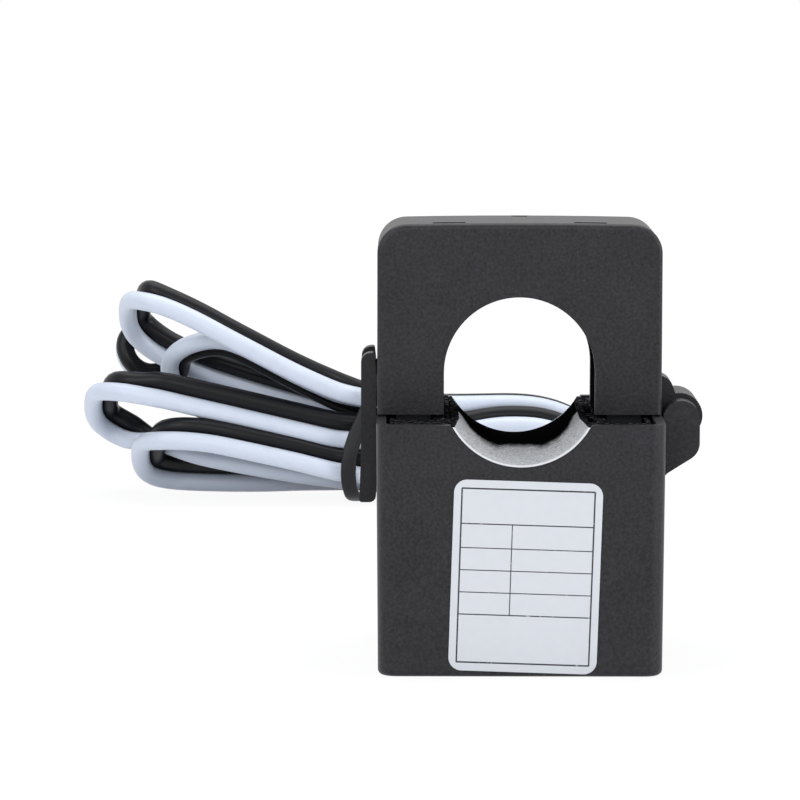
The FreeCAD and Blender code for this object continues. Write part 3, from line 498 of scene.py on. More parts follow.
class SurfaceGroups:
    """Shader groups that several finishes share."""

    def __init__(self) -> None:
        """Build each group once."""
        self.relief = self.build_relief()
        self.patterns = {"saddle_gloss": self.build_painted_throat(), "label": self.build_ruled(),
                         "core_steel": self.build_laminations()}

    @staticmethod
    def mask_group(name: str, *masks: str) -> tuple[NodeBench, Socket]:
        """Start a group that takes a colour and puts out a colour and masks.

        Args:
            name: Its name.
            masks: Names of its masks.

        Returns:
            The bench and the given colour.
        """
        bench = NodeBench(node_group(name, "ShaderNodeTree", {"Colour": "Color"},
                                     {"Colour": "Color", **dict.fromkeys(masks, "Float")}))
        return bench, bench.add("NodeGroupInput").outputs["Colour"]

    @staticmethod
    def painted_reflection_reach(bench: NodeBench, turned: Socket) -> Socket:
        """Read from the table of the painted reflection's edge how deep it starts on the front
        flare.

        Args:
            bench: The group's bench.
            turned: Turn from straight down, 1 for level.

        Returns:
            The depth in millimetres.
        """
        curve = bench.add("ShaderNodeValToRGB", Fac=turned)
        stops = curve.color_ramp.elements
        stops.remove(stops[1])
        for index, (degrees, reach) in enumerate(REFLECTION_EDGE_REACH):
            stop = stops.new(degrees / RIGHT_ANGLE) if index else stops[0]
            stop.position = degrees / RIGHT_ANGLE
            stop.color = (*[reach / REFLECTION_EDGE_SCALE] * 3, 1.0)
        return bench.sum_of("MULTIPLY", curve.outputs["Color"], REFLECTION_EDGE_SCALE)

    def build_painted_throat(self) -> NodeTree:
        """Make the saddle's group: pale flare with a painted reflection, throat and pockets in
        painted shade, dark deck, lips with painted highlights.

        Returns:
            The group.
        """
        bench, given = self.mask_group("saddle_moulding", "Gloss")
        x, y, z = bench.millimetre_axes()
        depth = bench.sum_of("ABSOLUTE", y)
        under = bench.sum_of("SUBTRACT", WINDOW_AXIS_Z, z)
        angle = bench.sum_of("ARCTAN2", bench.sum_of("ABSOLUTE", x), under)
        turned = bench.sum_of("DIVIDE", angle, math.pi / 2)
        reach = self.painted_reflection_reach(bench, turned)
        longer = bench.sum_of("SUBTRACT", REAR_REFLECTION_REACH, reach)
        reach = bench.sum_of("MULTIPLY_ADD", bench.ramp(y, *REAR_REFLECTION_HALF), longer, reach)
        ragged = bench.sum_of("SUBTRACT", bench.noise(REFLECTION_EDGE_GRAIN, 3.0), NOISE_MEAN)
        ragged = bench.sum_of("MULTIPLY", ragged, REFLECTION_EDGE_RAGGED)
        past = bench.sum_of("ADD", bench.sum_of("SUBTRACT", depth, reach), ragged)
        flare = bench.ramp(past, *REFLECTION_EDGE_FADE)
        pale = bench.blend(bench.speckle(*SCUFFS), FLARE_SCUFFED_REFLECTION, FLARE_PAINTED_REFLECTION)
        pale = bench.blend(bench.speckle(*SPECKS), FLARE_SPECK, pale)
        # Painted light: painted shade in the throat, a painted reflection on the flare
        walls = bench.blend(flare, THROAT_PAINTED_SHADE, pale)
        # Painted highlights: a bright front lip and a bright rim along the back edge
        sides = bench.ramp(bench.sum_of("MULTIPLY", turned, RIGHT_ANGLE), *REAR_RIM_HIGHLIGHT_DEGREES)
        rear_rim_highlight = bench.sum_of("MULTIPLY", bench.ramp(y, *REAR_RIM_HIGHLIGHT_DEPTH), sides)
        lip_highlight = bench.sum_of("MAXIMUM", bench.ramp(depth, *LIP_HIGHLIGHT_DEPTH), rear_rim_highlight)
        walls = bench.blend(lip_highlight, walls, LIP_HIGHLIGHT_COLOUR)
        facing = bench.facing_up()
        level = bench.ramp(facing, *DECK_FACING)
        level = bench.sum_of("MULTIPLY", level, bench.ramp(z, *DECK_ABOVE))
        upright = bench.ramp(bench.sum_of("ABSOLUTE", facing), *WALL_FACING)
        upright = bench.sum_of("MULTIPLY", upright, bench.ramp(depth, *WALL_WITHIN))
        deck = bench.blend(bench.speckle(*CHIPS), given, DECK_CHIP)
        # Painted shade: the pockets below the deck are painted black
        deck = bench.blend(bench.ramp(z, *POCKET_SHADE_BELOW), deck, POCKET_PAINTED_SHADE)
        colour = bench.blend(bench.sum_of("MAXIMUM", level, upright), walls, deck)
        gloss = bench.sum_of("MULTIPLY_ADD", flare, FLARE_SMOOTHER, THROAT_ROUGHNESS)
        bench.add("NodeGroupOutput", Colour=colour, Gloss=gloss)
        return bench.tree

    def build_laminations(self) -> NodeTree:
        """Make the core's group: dark varnish on its sides, ground sheet ends on its pole faces.

        Returns:
            The group.
        """
        bench, given = self.mask_group("core_laminations", "Metal")
        y = bench.millimetre_axes()[1]
        pole = bench.ramp(bench.sum_of("ABSOLUTE", bench.facing_up()), *POLE_FACING)
        sheet = bench.sum_of("SINE", bench.sum_of("MULTIPLY", y, 2 * math.pi / SHEET_T))
        steel = bench.blend(bench.ramp(sheet, *SHEET_JOINT), SHEET_GROUND, SHEET_GAP)
        bench.add("NodeGroupOutput", Colour=bench.blend(pole, given, steel), Metal=pole)
        return bench.tree

    def build_ruled(self) -> NodeTree:
        """Make the label's group: a plain frame and ruled fields, turned as the label is.

        Returns:
            The group.
        """
        bench, given = self.mask_group("ruled_fields")
        turned = bench.add("ShaderNodeMapping", vector_type="TEXTURE", Vector=bench.place(),
                           Location=(LABEL_X * MM, 0.0, LABEL_Z * MM), Scale=(MM, MM, MM),
                           Rotation=(0.0, math.radians(LABEL_TURN), 0.0))
        across, _, up = bench.axes_of(turned.outputs[0])
        inked = None
        for kind, at, low, high, half in RULES:
            along, over = (across, up) if kind == "level" else (up, across)
            off = bench.sum_of("ABSOLUTE", bench.sum_of("SUBTRACT", over, at))
            past = bench.sum_of("ABSOLUTE", bench.sum_of("SUBTRACT", along, (low + high) / 2))
            reach = (high - low) / 2
            stroke = bench.sum_of("MULTIPLY", bench.ramp(off, half + RULE_SOFT, half),
                                  bench.ramp(past, reach + RULE_END_SOFT, reach))
            inked = stroke if inked is None else bench.sum_of("MAXIMUM", inked, stroke)
        worn = bench.sum_of("MULTIPLY", inked, bench.speckle(*INK_WEAR))
        bench.add("NodeGroupOutput", Colour=bench.blend(worn, given, INK))
        return bench.tree

    def build_relief(self) -> NodeTree:
        """Make the group for fine relief, mottled colour and uneven gloss.

        Returns:
            The group.
        """
        tree = node_group(
            "surface_relief", "ShaderNodeTree",
            {"Colour": "Color", "Mottle": "Float", "Grain": "Float", "Roughness": "Float",
             "Stretch": "Vector"},
            {"Colour": "Color", "Roughness": "Float", "Height": "Float"})
        bench = NodeBench(tree)
        given = bench.add("NodeGroupInput").outputs
        place = bench.place()
        stretched = bench.add("ShaderNodeVectorMath", operation="MULTIPLY")
        bench.feed(stretched.inputs[0], place)
        bench.feed(stretched.inputs[1], given["Stretch"])
        fine = bench.add("ShaderNodeTexNoise", Detail=3.0, Roughness=0.6, Scale=given["Grain"],
                         Vector=stretched).outputs["Fac"]
        broad = bench.add("ShaderNodeTexNoise", Detail=4.0, Roughness=0.65, Scale=BROAD_SCALE,
                          Vector=place).outputs["Fac"]
        both = bench.sum_of("MULTIPLY_ADD", broad, BROAD_SHARE, fine)
        centred = bench.sum_of("SUBTRACT", both, RELIEF_MEAN)
        swing = bench.sum_of("MULTIPLY_ADD", centred, given["Mottle"], 1.0)
        tint = bench.add("ShaderNodeVectorMath", operation="SCALE", Vector=given["Colour"],
                         Scale=swing)
        uneven = bench.sum_of("MULTIPLY_ADD", centred, GLOSS_SWING, given["Roughness"])
        bench.add("NodeGroupOutput", Colour=tint, Roughness=uneven, Height=fine)
        return tree


class Paintshop:
    """Makes each finish once and puts it on pieces."""

    def __init__(self) -> None:
        """Start with the shared groups and no finishes."""
        self.groups = SurfaceGroups()
        self.made: dict[str, Material] = {}

    def material(self, name: str) -> Material:
        """Give the material of a finish.

        Args:
            name: Name in FINISHES.

        Returns:
            The material, made on first use.
        """
        if name not in self.made:
            self.made[name] = self.mix(FINISHES[name])
        return self.made[name]

    def mix(self, finish: Finish) -> Material:
        """Build the nodes of one finish.

        Args:
            finish: What it looks like.

        Returns:
            The new material.
        """
        material = bpy.data.materials.new("finish_" + finish.name)
        material.use_nodes = True
        bench = NodeBench(material.node_tree)
        shader = material.node_tree.nodes["Principled BSDF"].inputs
        stretch = GROUND_STRETCH if finish.grain is Grain.GROUND else (1.0, 1.0, 1.0)
        relief = bench.add("ShaderNodeGroup", node_tree=self.groups.relief,
                           Colour=(*finish.colour, 1.0), Mottle=finish.mottle * MOTTLE_GAIN,
                           Grain=1 / finish.grain_size, Roughness=finish.roughness, Stretch=stretch)
        colour, gloss = relief.outputs["Colour"], relief.outputs["Roughness"]
        metal = finish.metallic
        if finish.name in self.groups.patterns:
            marked = bench.add("ShaderNodeGroup", node_tree=self.groups.patterns[finish.name],
                               Colour=colour)
            colour = marked.outputs["Colour"]
            gloss = marked.outputs.get("Gloss") or gloss
            metal = marked.outputs.get("Metal") or metal
        bump = bench.add("ShaderNodeBump", Distance=finish.relief, Strength=1.0,
                         Height=relief.outputs["Height"])
        for name, value in (("Base Color", colour), ("Roughness", gloss), ("Metallic", metal),
                            ("Specular IOR Level", finish.specular), ("Normal", bump)):
            bench.feed(shader[name], value)
        return material

    def dress_node(self, node: str, name: str) -> None:
        """Give a node of the model its finish.

        Args:
            node: Node name.
            name: Name in FINISHES.
        """
        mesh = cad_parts[node].data
        mesh.materials.clear()
        mesh.materials.append(self.material(name))
        LOG.info("%s: finish %s", node, name)

    def dress(self, piece: Object, *slots: str) -> None:
        """Give a new piece its finishes in slot order.

        Args:
            piece: The piece.
            slots: Names in FINISHES.
        """
        for slot in slots:
            piece.data.materials.append(self.material(slot))
        LOG.info("%s: finish %s", piece.name, ", ".join(slots))


@dataclass
class StrandBundle:
    """Bare strands at a stripped conductor's end, made with geometry nodes.

    Args:
        finish: Material of the strands.
        strands: Strands round the middle one.
        pitch_radius: Radius of their circle.
        strand_radius: Radius of one strand.
        bare_length: How far they stand out of the insulation.
        twist: Turn of the bundle over its length.
        rings: Points along one strand.
        corners: Corners of a strand's section.
    """

    finish: Material
    strands: int = 6
    pitch_radius: float = 0.42 * MM
    strand_radius: float = 0.2 * MM
    bare_length: float = 3.6 * MM
    twist: float = math.radians(200)
    rings: int = 14
    corners: int = 10

    def tree(self) -> NodeTree:
        """Build the tree that lays and twists the strands.

        Returns:
            The tree.
        """
        tree = node_group(
            "twisted_strands", "GeometryNodeTree",
            {"Strands": "Int", "Pitch Radius": "Float", "Strand Radius": "Float",
             "Bare Length": "Float", "Twist": "Float", "Finish": "Material"},
            {"Geometry": "Geometry"})
        bench = NodeBench(tree)
        given = bench.add("NodeGroupInput").outputs
        far = bench.add("ShaderNodeCombineXYZ", Z=given["Bare Length"])
        line = bench.add("GeometryNodeCurvePrimitiveLine", End=far)
        fine = bench.add("GeometryNodeResampleCurve", Curve=line, Count=self.rings)
        section = bench.add("GeometryNodeCurvePrimitiveCircle", Resolution=self.corners,
                            Radius=given["Strand Radius"])
        swept = bench.add("GeometryNodeCurveToMesh", Curve=fine, Profile_Curve=section,
                          Fill_Caps=True)
        places = bench.add("GeometryNodeMeshCircle", Vertices=given["Strands"],
                           Radius=given["Pitch Radius"])
        laid = bench.add("GeometryNodeInstanceOnPoints", Points=places, Instance=swept)
        both = bench.add("GeometryNodeJoinGeometry")
        for strands in (laid, swept):
            bench.feed(both.inputs[0], strands)
        real = bench.add("GeometryNodeRealizeInstances", Geometry=both)
        where = bench.add("GeometryNodeInputPosition").outputs[0]
        share = bench.sum_of("DIVIDE", bench.axes_of(where)[2], given["Bare Length"])
        angle = bench.sum_of("MULTIPLY", share, given["Twist"])
        turned = bench.add("ShaderNodeVectorRotate", rotation_type="Z_AXIS", Vector=where,
                           Angle=angle)
        moved = bench.add("GeometryNodeSetPosition", Geometry=real, Position=turned)
        dressed = bench.add("GeometryNodeSetMaterial", Geometry=moved, Material=given["Finish"])
        bench.add("NodeGroupOutput", Geometry=dressed)
        return tree

    def build(self) -> Mesh:
        """Make one bundle that stands on the origin along +Z.

        Returns:
            Its plain mesh.
        """
        holder = placed("strand_bundle", bpy.data.meshes.new("strand_bundle"))
        modifier = holder.modifiers.new("strands", "NODES")
        modifier.node_group = self.tree()
        for socket in modifier.node_group.interface.items_tree:
            if socket.in_out == "INPUT":
                value = getattr(self, socket.name.lower().replace(" ", "_"))
                modifier[socket.identifier] = value
        return frozen_mesh(holder)


class Side(Enum):
    """Where the black conductor lies beside the white one, as seen along a stretch of the lead."""

    OVER = (0.0, 0.0, 1.0)
    UNDER = (0.0, 0.0, -1.0)
    RIGHT = (1.0, 0.0, 0.0)
    FRONT = (0.0, -1.0, 0.0)
    FRONT_TURN = (0.12, -0.98, 0.15)
    BACK = (0.0, 1.0, 0.0)
    UPRIGHT = (0.0, 0.25, 0.97)
    OVER_BACK = (0.0, 0.66, 0.75)
    BACK_OVER = (0.0, 0.87, 0.5)
    BACK_UNDER = (0.0, 0.87, -0.5)
    TIP = (0.9, 0.15, 0.4)
    TIP_UNDER = (0.45, 0.85, -0.3)


# Places of the lead's finishes among its material slots
WHITE_WIRE, BLACK_WIRE, BARE_WIRE = range(3)
# The lead's route in millimetres, in stretches along which the black conductor keeps its side
LEAD_ROUTE = (
    # From the strain relief down to the floor and back to the hank
    (Side.RIGHT, (-5.0, 16.5, 4.6), (-5.0, 29.0, 4.6), (-4.0, 45.0, 1.5), (1.5, 64.0, 1.45),
     (11.0, 81.0, 1.4), (16.0, 99.0, 1.45), (19.4, 110.0, 1.6), (20.6, 119.0, 2.4),
     (20.2, 127.0, 5.4)),
    # Past the window
    (Side.BACK, (16.0, 131.4, 8.29), (12.9, 130.6, 10.66), (9.4, 130.0, 12.5),
     (6.0, 129.4, 13.41), (2.6, 128.9, 13.68), (-0.8, 128.4, 13.67), (-5.4, 127.8, 13.64),
     (-10.3, 127.2, 13.79), (-15.3, 126.7, 14.32)),
    # Highest loop
    (Side.BACK_OVER, (-20.9, 126.2, 15.91), (-23.3, 125.4, 16.98), (-26.5, 124.8, 18.45),
     (-29.9, 124.4, 20.17), (-33.4, 124.0, 22.1), (-36.9, 123.8, 23.94), (-40.4, 124.0, 25.88),
     (-43.6, 124.2, 27.45), (-46.6, 124.6, 28.65), (-49.0, 125.6, 29.28)),
    (Side.TIP, (-50.3, 128.8, 28.94), (-50.8, 133.4, 26.07)),
    (Side.OVER, (-51.0, 136.0, 24.16), (-49.0, 136.8, 22.08), (-46.4, 136.8, 20.36),
     (-42.4, 136.4, 18.68), (-36.7, 135.2, 16.8), (-28.9, 133.8, 14.67), (-21.0, 133.6, 12.55)),
    # First loop on the right
    (Side.OVER, (-9.0, 135.4, 12.0)),
    (Side.BACK, (2.0, 137.4, 8.2), (6.2, 138.4, 7.8)),
    (Side.RIGHT, (12.0, 137.2, 7.8), (12.0, 131.6, 7.9)),
    (Side.FRONT, (6.4, 130.1, 8.6), (1.0, 129.8, 9.8)),
    (Side.UNDER, (-9.0, 131.2, 11.3)),
    # Second loop, white outside
    (Side.BACK_UNDER, (-20.9, 129.8, 13.72), (-24.2, 129.0, 15.37), (-27.6, 129.0, 16.99),
     (-31.2, 129.0, 18.9), (-34.7, 129.0, 20.81), (-38.0, 129.0, 22.15), (-40.8, 129.2, 21.98),
     (-43.4, 129.6, 21.09)),
    (Side.TIP_UNDER, (-45.0, 130.8, 19.67), (-45.0, 132.6, 17.06)),
    (Side.BACK_UNDER, (-44.2, 133.4, 15.15)),
    (Side.UNDER, (-40.8, 133.6, 12.93), (-34.5, 133.4, 11.39), (-27.4, 131.6, 9.59),
     (-21.0, 130.2, 8.04)),
    # Second loop on the right
    (Side.UNDER, (-9.0, 129.8, 7.4)),
    (Side.FRONT, (2.0, 129.6, 5.6), (10.0, 129.3, 4.9)),
    (Side.RIGHT, (16.4, 130.6, 4.6), (16.4, 137.6, 4.4)),
    (Side.BACK, (10.0, 139.2, 4.4), (3.0, 138.8, 4.7)),
    (Side.UNDER, (-9.0, 135.4, 7.4)),
    # Third loop, turned in its tip
    (Side.UNDER, (-20.9, 134.6, 8.0), (-26.6, 136.0, 10.85), (-32.3, 137.6, 13.23),
     (-38.2, 138.8, 15.83), (-44.2, 139.8, 18.63)),
    (Side.BACK, (-48.0, 141.8, 21.73)),
    (Side.FRONT_TURN, (-51.2, 142.3, 23.15), (-53.2, 142.2, 21.05), (-52.5, 141.2, 18.1),
     (-49.8, 141.8, 16.12)),
    (Side.OVER, (-45.5, 142.6, 15.85), (-39.1, 140.8, 13.17), (-32.2, 139.6, 9.84),
     (-26.1, 138.0, 7.72), (-21.0, 136.8, 6.42)),
    # Third loop on the right
    (Side.OVER, (-9.0, 138.4, 3.0)),
    (Side.BACK, (3.0, 135.6, 1.6), (11.0, 136.2, 1.5)),
    (Side.RIGHT, (14.8, 131.6, 1.9), (15.4, 125.6, 3.8)),
    # Across the window
    (Side.BACK_OVER, (14.3, 123.6, 6.74), (12.3, 123.2, 9.04), (9.8, 123.2, 10.73),
     (6.7, 123.4, 11.68), (3.4, 123.6, 11.88), (0.0, 123.9, 11.73), (-3.6, 124.2, 10.93),
     (-8.1, 124.6, 10.05)),
    (Side.UPRIGHT, (-13.9, 124.9, 9.93)),
    # Fourth loop, the longest
    (Side.UPRIGHT, (-20.6, 124.9, 10.08), (-23.0, 124.7, 10.45), (-26.5, 124.6, 11.3),
     (-30.7, 124.5, 12.3), (-34.9, 124.4, 13.29), (-39.1, 124.3, 14.28), (-42.9, 124.2, 15.13),
     (-46.5, 124.3, 16.02)),
    (Side.BACK_OVER, (-49.9, 124.8, 16.14), (-53.3, 126.2, 16.44)),
    (Side.TIP, (-55.3, 129.0, 15.82), (-55.8, 133.2, 12.22)),
    (Side.OVER, (-55.3, 136.2, 10.47), (-52.8, 137.0, 8.94)),
    (Side.BACK, (-49.5, 136.0, 7.49), (-46.0, 134.2, 7.2), (-42.2, 130.6, 6.05),
     (-35.8, 129.6, 4.94), (-29.4, 129.2, 3.86), (-20.9, 128.7, 2.79)),
    # Fourth loop on the right
    (Side.BACK, (-9.0, 129.6, 1.7), (2.0, 130.4, 1.5), (7.0, 130.2, 1.5)),
    (Side.RIGHT, (12.0, 128.8, 1.4), (12.0, 123.6, 1.4)),
    (Side.FRONT, (7.0, 122.2, 1.5), (1.0, 122.2, 2.2)),
    (Side.OVER, (-9.0, 122.8, 3.8)),
    # Lowest loop
    (Side.OVER_BACK, (-20.8, 123.4, 5.45), (-23.2, 123.2, 5.9), (-27.1, 123.0, 6.97),
     (-31.3, 122.8, 7.91), (-35.5, 122.6, 8.86), (-39.4, 122.6, 9.67), (-43.1, 122.8, 10.03)),
    (Side.BACK_OVER, (-46.6, 123.8, 9.78)),
    (Side.TIP, (-48.5, 126.6, 9.0), (-49.0, 130.8, 5.64)),
    (Side.OVER, (-48.7, 134.0, 3.84), (-46.1, 135.6, 2.99), (-42.3, 136.0, 2.72),
     (-37.2, 135.6, 2.65), (-32.0, 134.8, 2.78), (-27.0, 134.0, 3.09), (-21.0, 133.4, 3.17)),
    # Free end, inside the loops on the right
    (Side.OVER, (-9.0, 133.0, 3.7), (-1.0, 134.0, 5.3), (6.5, 134.4, 5.6)),
)


@dataclass
class Lead:
    """The flat two-wire lead, one length from the strain relief to its free end.

    Args:
        shop: Finishes.
        radius: Radius of one insulated conductor.
        sides: Corners of a conductor's section.
        steps: Points of the smooth line for each point of the route.
        line_rounds: How often the line is evened out.
        turn_rounds: How often the pair's turning is evened out.
        least_side: Part of a side that has to be square to the lead before it counts alone.
        seat: How deep the bare strands sit in the insulation, in millimetres.
        exit_point: Where the lead leaves the strain relief; not used.
        real_length: Length of the real lead; not used.
        points: Its route in millimetres with the side that the black conductor is on.
    """

    shop: Paintshop
    radius: float = 1.3 * MM
    sides: int = 16
    steps: int = 14
    line_rounds: int = 20
    turn_rounds: int = 110
    least_side: float = 0.25
    seat: float = 0.4
    exit_point: Point = (-0.005, 0.0195, 0.0046)
    real_length: float = 0.93
    points: list[tuple[Point, Side]] = field(default_factory=lambda: [
        (point, side) for side, *stretch in LEAD_ROUTE for point in stretch])

    def centreline(self) -> tuple[list[Vector], list[Vector]]:
        """Read points from the route's smooth line.

        Returns:
            The points, and at each the direction from the white to the black conductor.
        """
        curve = bpy.data.curves.new("lead_route", "CURVE")
        curve.dimensions = "3D"
        curve.resolution_u = self.steps
        spline = curve.splines.new("NURBS")
        spline.points.add(len(self.points) - 1)
        for target, (point, _) in zip(spline.points, self.points):
            target.co = (*(Vector(point) * MM), 1.0)
        spline.order_u = 3
        spline.use_endpoint_u = True
        line = frozen_mesh(placed("lead_route", curve))
        points = self.eased([vertex.co.copy() for vertex in line.vertices], self.line_rounds)
        bpy.data.curves.remove(curve)
        bpy.data.meshes.remove(line)
        return points, self.turns(points)

    def turns(self, line: list[Vector]) -> list[Vector]:
        """Work out how the pair is turned along its line.

        Args:
            line: Points of the centre line.

        Returns:
            The unit direction from white to black at each point.
        """
        spans = len(self.points) - 2
        found: list[Vector] = []
        for index in range(len(line)):
            # Each span of the smooth line has a point of the route at its middle
            position = index / (len(line) - 1) * spans + 0.5
            low = min(int(position), spans)
            share = min(position - low, 1.0)
            share = share * share * (3 - 2 * share)
            before, after = (Vector(side.value) for _, side in self.points[low:low + 2])
            along = heading(line, index)
            wide = square_part(before.lerp(after, share), along)
            if wide.length < self.least_side and found:
                wide = square_part(wide + found[-1], along)
            found.append(wide.normalized())
        found = self.eased(found, self.turn_rounds)
        return [square_part(wide, heading(line, index)).normalized()
                for index, wide in enumerate(found)]

    @staticmethod
    def eased(values: list[Vector], rounds: int) -> list[Vector]:
        """Even out a row of vectors along the lead.

        Args:
            values: The vectors in order.
            rounds: How often each is drawn towards its neighbours.

        Returns:
            The evened vectors, with both ends kept.
        """
        for _ in range(rounds):
            middle = [(before + here * 2 + after) / 4
                      for before, here, after in zip(values, values[1:], values[2:])]
            values = [values[0], *middle, values[-1]]
        return values

    def tube(self, shape: BMesh, line: list[Vector], wide: list[Vector], side: float,
             slot: int) -> None:
        """Add one insulated conductor.

        Args:
            shape: The bmesh to add to.
            line: Points of the pair's centre line.
            wide: Directions from white to black.
            side: -1 for the white conductor, 1 for the black.
            slot: Its material index.
        """
        angles = [2 * math.pi * corner / self.sides for corner in range(self.sides)]
        rings = []
        for index, (here, over) in enumerate(zip(line, wide)):
            thin = heading(line, index).cross(over)
            centre = here + over * (side * self.radius)
            spokes = (over * math.cos(angle) + thin * math.sin(angle) for angle in angles)
            rings.append([shape.verts.new(centre + spoke * self.radius) for spoke in spokes])
        faces = bridge_rings(shape, rings)
        faces += [shape.faces.new(rings[0]), shape.faces.new(rings[-1])]
        for face in faces:
            face.material_index = slot

    def strip_ends(self, shape: BMesh, end: Vector, along: Vector, wide: Vector) -> None:
        """Add the bare strands of both conductors at the free end.

        Args:
            shape: The bmesh to add to.
            end: Last point of the centre line.
            along: Direction out of the lead.
            wide: Direction from white to black.
        """
        bundle = StrandBundle(self.shop.material("copper_wire")).build()
        axes = Matrix((wide, along.cross(wide), along)).transposed().to_4x4()
        for side in (-1.0, 1.0):
            seated = bundle.copy()
            seat = end - along * self.seat * MM + wide * (side * self.radius)
            seated.transform(Matrix.Translation(seat) @ axes)
            known = len(shape.faces)
            shape.from_mesh(seated)
            shape.faces.ensure_lookup_table()
            for face in shape.faces[known:]:
                face.material_index = BARE_WIRE
            bpy.data.meshes.remove(seated)
        bpy.data.meshes.remove(bundle)

    def build(self) -> Object:
        """Returns:
            The lead.
        """
        line, wide = self.centreline()
        shape = bmesh.new()
        self.tube(shape, line, wide, -1.0, WHITE_WIRE)
        self.tube(shape, line, wide, 1.0, BLACK_WIRE)
        self.strip_ends(shape, line[-1], (line[-1] - line[-2]).normalized(), wide[-1])
        lead = finished_mesh("two_wire_lead", shape)
        self.shop.dress(lead, "wire_white", "wire_black", "copper_wire")
        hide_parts("lead_cord", "lead_hank")
        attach(lead, "lower_half")
        length = sum((b - a).length for a, b in zip(line, line[1:]))
        LOG.info("lead: %.3f m in %d points", length, len(line))
        return lead


@dataclass
class Tie:
    """Soft black tie pulled round the hank's waist at a slant.

    Args:
        shop: Finishes.
        width: Width of the band.
        thickness: Thickness of the band.
        steps: Rings between two points.
        corners: Corners of the band's section.
        fullness: How round the section is, 1 for an ellipse and 0 for a box.
        loop: Points of the band's middle line in millimetres, round the waist.
    """

    shop: Paintshop
    width: float = 2.1
    thickness: float = 0.9
    steps: int = 8
    corners: int = 14
    fullness: float = 0.55
    loop: list[Point] = field(default_factory=lambda: [
        (-17.5, 122.0, 13.9), (-18.6, 121.6, 11.6), (-19.5, 121.0, 9.6), (-20.2, 120.4, 7.2),
        (-20.4, 120.3, 4.8), (-20.2, 120.6, 2.6), (-19.6, 122.4, 0.9), (-18.4, 126.4, 0.5),
        (-17.8, 131.0, 0.5), (-17.2, 137.8, 1.6), (-16.8, 139.8, 7.0), (-16.2, 138.0, 12.6),
        (-15.8, 134.0, 16.6), (-15.6, 128.4, 18.3), (-15.9, 124.4, 17.8), (-16.6, 122.2, 16.4),
    ])

    def middle(self) -> list[Vector]:
        """Round the loop's points off.

        Returns:
            Points of the closed middle line.
        """
        loop = [Vector(point) for point in self.loop]
        line = []
        for before, here, after in zip(loop[-1:] + loop, loop, loop[1:] + loop[:1]):
            start, end = (before + here) / 2, (here + after) / 2
            for step in range(self.steps):
                share = step / self.steps
                line.append(start * (1 - share) ** 2 + here * 2 * share * (1 - share)
                            + end * share ** 2)
        return line

    def section(self) -> list[tuple[float, float]]:
        """Give the band's section.

        Returns:
            Each corner's place across the band and out of it, in millimetres.
        """
        corners = []
        for corner in range(self.corners):
            turned = 2 * math.pi * corner / self.corners
            parts = (math.cos(turned), self.width), (math.sin(turned), self.thickness)
            corners.append(tuple(math.copysign(abs(part) ** self.fullness, part) * size / 2
                                 for part, size in parts))
        return corners

    def build(self) -> Object:
        """Make the ring of the tie.

        Returns:
            The tie.
        """
        shape = bmesh.new()
        line = self.middle()
        centre = sum(line, Vector()) / len(line)
        section = self.section()
        rings = []
        for before, here, after in zip(line[-1:] + line, line, line[1:] + line[:1]):
            along = (after - before).normalized()
            across = square_part(Vector((1, 0, 0)), along).normalized()
            outward = across.cross(along)
            if outward.dot(here - centre) < 0:
                outward.negate()
            rings.append([shape.verts.new((here + across * side + outward * rise) * MM)
                          for side, rise in section])
        bridge_rings(shape, rings, closed=True)
        tie = finished_mesh("slanted_tie", shape)
        self.shop.dress(tie, "tie")
        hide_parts("hank_tie")
        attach(tie, "lower_half")
        return tie


@dataclass
class Housing:
    """Both moulded halves, the latch and what they hold.

    Args:
        shop: Finishes.
        nodes: The nodes of each finish, all of which keep their own shape.
    """

    shop: Paintshop
    nodes: dict[str, tuple[str, ...]] = field(default_factory=lambda: {
        "housing": ("lower_shell", "upper_shell"),
        "saddle_gloss": ("saddle_cover",), "arch_liner": ("arch_liner",), "latch": ("latch_lever",),
        "core_steel": ("lower_core", "upper_core"),
        "former": ("coil_former_front", "coil_former_rear"),
        "copper_wire": ("winding", "winding_start_wire", "winding_finish_wire"),
        "tape": ("winding_tape",), "board": ("terminal_board",), "diode": ("clamp_diode",),
        "wire_white": ("lead_tail_white",), "wire_black": ("lead_tail_black",),
        "bush": ("strain_relief",), "label": ("rating_label",),
        "pin_steel": ("hinge_pin",), "spring_steel": ("core_spring",),
    })

    def build(self) -> None:
        """Dress every node that keeps its own shape."""
        for finish, nodes in self.nodes.items():
            for node in nodes:
                self.shop.dress_node(node, finish)


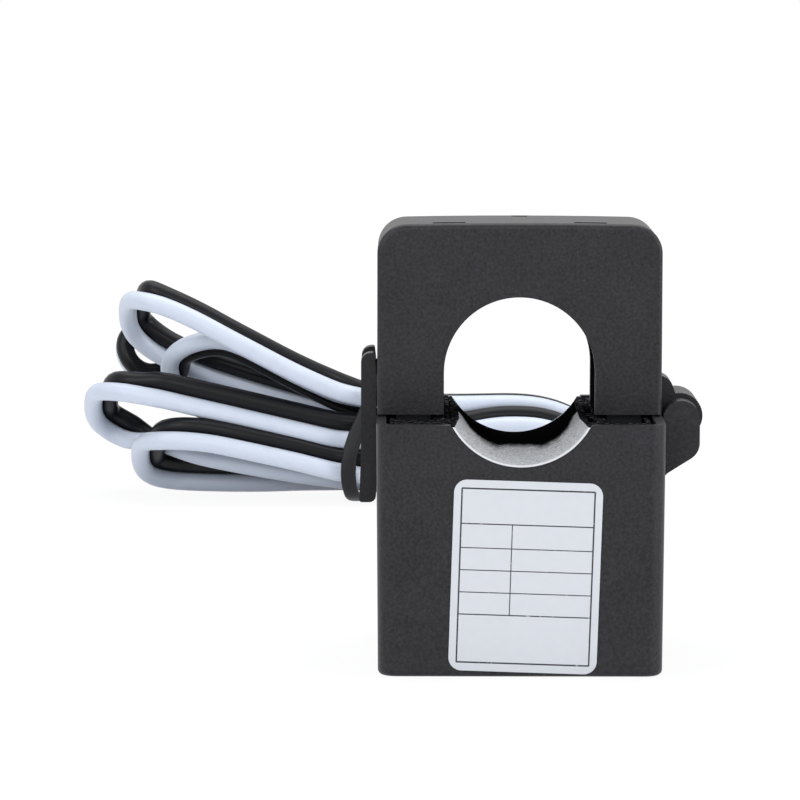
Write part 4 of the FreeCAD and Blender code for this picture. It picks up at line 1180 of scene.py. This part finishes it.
@dataclass
class Studio:
    """Camera, lights and the pale surroundings.

    Args:
        station: Where the camera stands, in metres.
        pitch: How far it looks down.
        yaw: How far it looks to the right.
        roll: How far it is turned about its view.
        lens: Focal length in millimetres on SENSOR, also in millimetres.
    """

    station: Point = (-0.012298, -0.455278, 0.078178)
    pitch: float = math.radians(6.262)
    yaw: float = math.radians(-0.085)
    roll: float = math.radians(0.080)
    lens: float = 187.11

    def place_camera(self) -> None:
        """Set the camera at the photograph's viewpoint."""
        ahead = Vector((math.sin(self.yaw) * math.cos(self.pitch),
                        math.cos(self.yaw) * math.cos(self.pitch), -math.sin(self.pitch)))
        right = Vector((math.cos(self.yaw), -math.sin(self.yaw), 0.0))
        up = right.cross(ahead)
        turned = right * math.cos(self.roll) + up * math.sin(self.roll)
        raised = up * math.cos(self.roll) - right * math.sin(self.roll)
        data = bpy.data.cameras.new("camera")
        data.lens = self.lens
        data.sensor_width = SENSOR
        data.clip_start, data.clip_end = CLIP
        camera = placed("camera", data)
        axes = Matrix((turned, raised, -ahead)).transposed()
        camera.matrix_world = Matrix.Translation(self.station) @ axes.to_4x4()
        bpy.context.scene.camera = camera

    @staticmethod
    def softbox(name: str, spot: Point, aim: Point, size: tuple[float, float],
                power: float) -> None:
        """Add one rectangular light.

        Args:
            name: Its name.
            spot: Where it stands.
            aim: What it points at.
            size: Its width and height.
            power: Its power in watts.
        """
        data = bpy.data.lights.new(name, "AREA")
        data.shape = "RECTANGLE"
        data.size, data.size_y = size
        data.energy = power
        lamp = placed(name, data)
        lamp.location = spot
        lamp.rotation_euler = (Vector(aim) - Vector(spot)).to_track_quat("-Z", "Y").to_euler()

    @staticmethod
    def white_surface() -> Material:
        """Make the floor's material, white to the camera and still shaded by the object.

        Returns:
            The material.
        """
        material = bpy.data.materials.new("studio_floor")
        material.use_nodes = True
        material.node_tree.nodes.clear()
        bench = NodeBench(material.node_tree)
        lit = bench.add("ShaderNodeBsdfDiffuse", Color=FLOOR_COLOUR)
        glow = bench.add("ShaderNodeEmission", Color=WHITE, Strength=FLOOR_GLOW)
        off = bench.add("ShaderNodeVectorMath", operation="LENGTH", Vector=bench.place())
        whiter = bench.add("ShaderNodeMapRange", Value=off.outputs["Value"], **FLOOR_FADE)
        share = bench.sum_of("MULTIPLY", bench.seen(), whiter.outputs[0])
        bench.finish_with("ShaderNodeOutputMaterial", share, lit, glow)
        return material

    @staticmethod
    def light_room() -> None:
        """Make the surroundings: soft light for the object, white where they are seen."""
        world = bpy.data.worlds.new("studio")
        bpy.context.scene.world = world
        world.use_nodes = True
        world.node_tree.nodes.clear()
        bench = NodeBench(world.node_tree)
        soft = bench.add("ShaderNodeBackground", Color=ROOM_COLOUR, Strength=ROOM_LIGHT)
        white = bench.add("ShaderNodeBackground", Color=WHITE, Strength=1.0)
        bench.finish_with("ShaderNodeOutputWorld", bench.seen(), soft, white)

    def build(self) -> None:
        """Make the floor, the surroundings and the lights."""
        bpy.context.scene.view_settings.view_transform = "Standard"
        shape = bmesh.new()
        shape.faces.new([shape.verts.new((x * FLOOR_REACH, y * FLOOR_REACH, 0.0))
                         for x, y in ((-1, -1), (1, -1), (1, 1), (-1, 1))])
        floor = finished_mesh("studio_floor", shape, smooth=False)
        floor.location.z = -FLOOR_DROP
        floor.data.materials.append(self.white_surface())
        self.light_room()
        for lamp in LAMPS:
            self.softbox(*lamp)


def main() -> None:
    """Build the studio, then each sub-assembly."""
    logging.basicConfig(level=logging.INFO, format="%(name)s: %(message)s")
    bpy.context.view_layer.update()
    studio = Studio()
    studio.place_camera()
    shop = Paintshop()
    Lead(shop).build()
    Tie(shop).build()
    Housing(shop).build()
    studio.build()


if __name__ == "__main__":
    main()
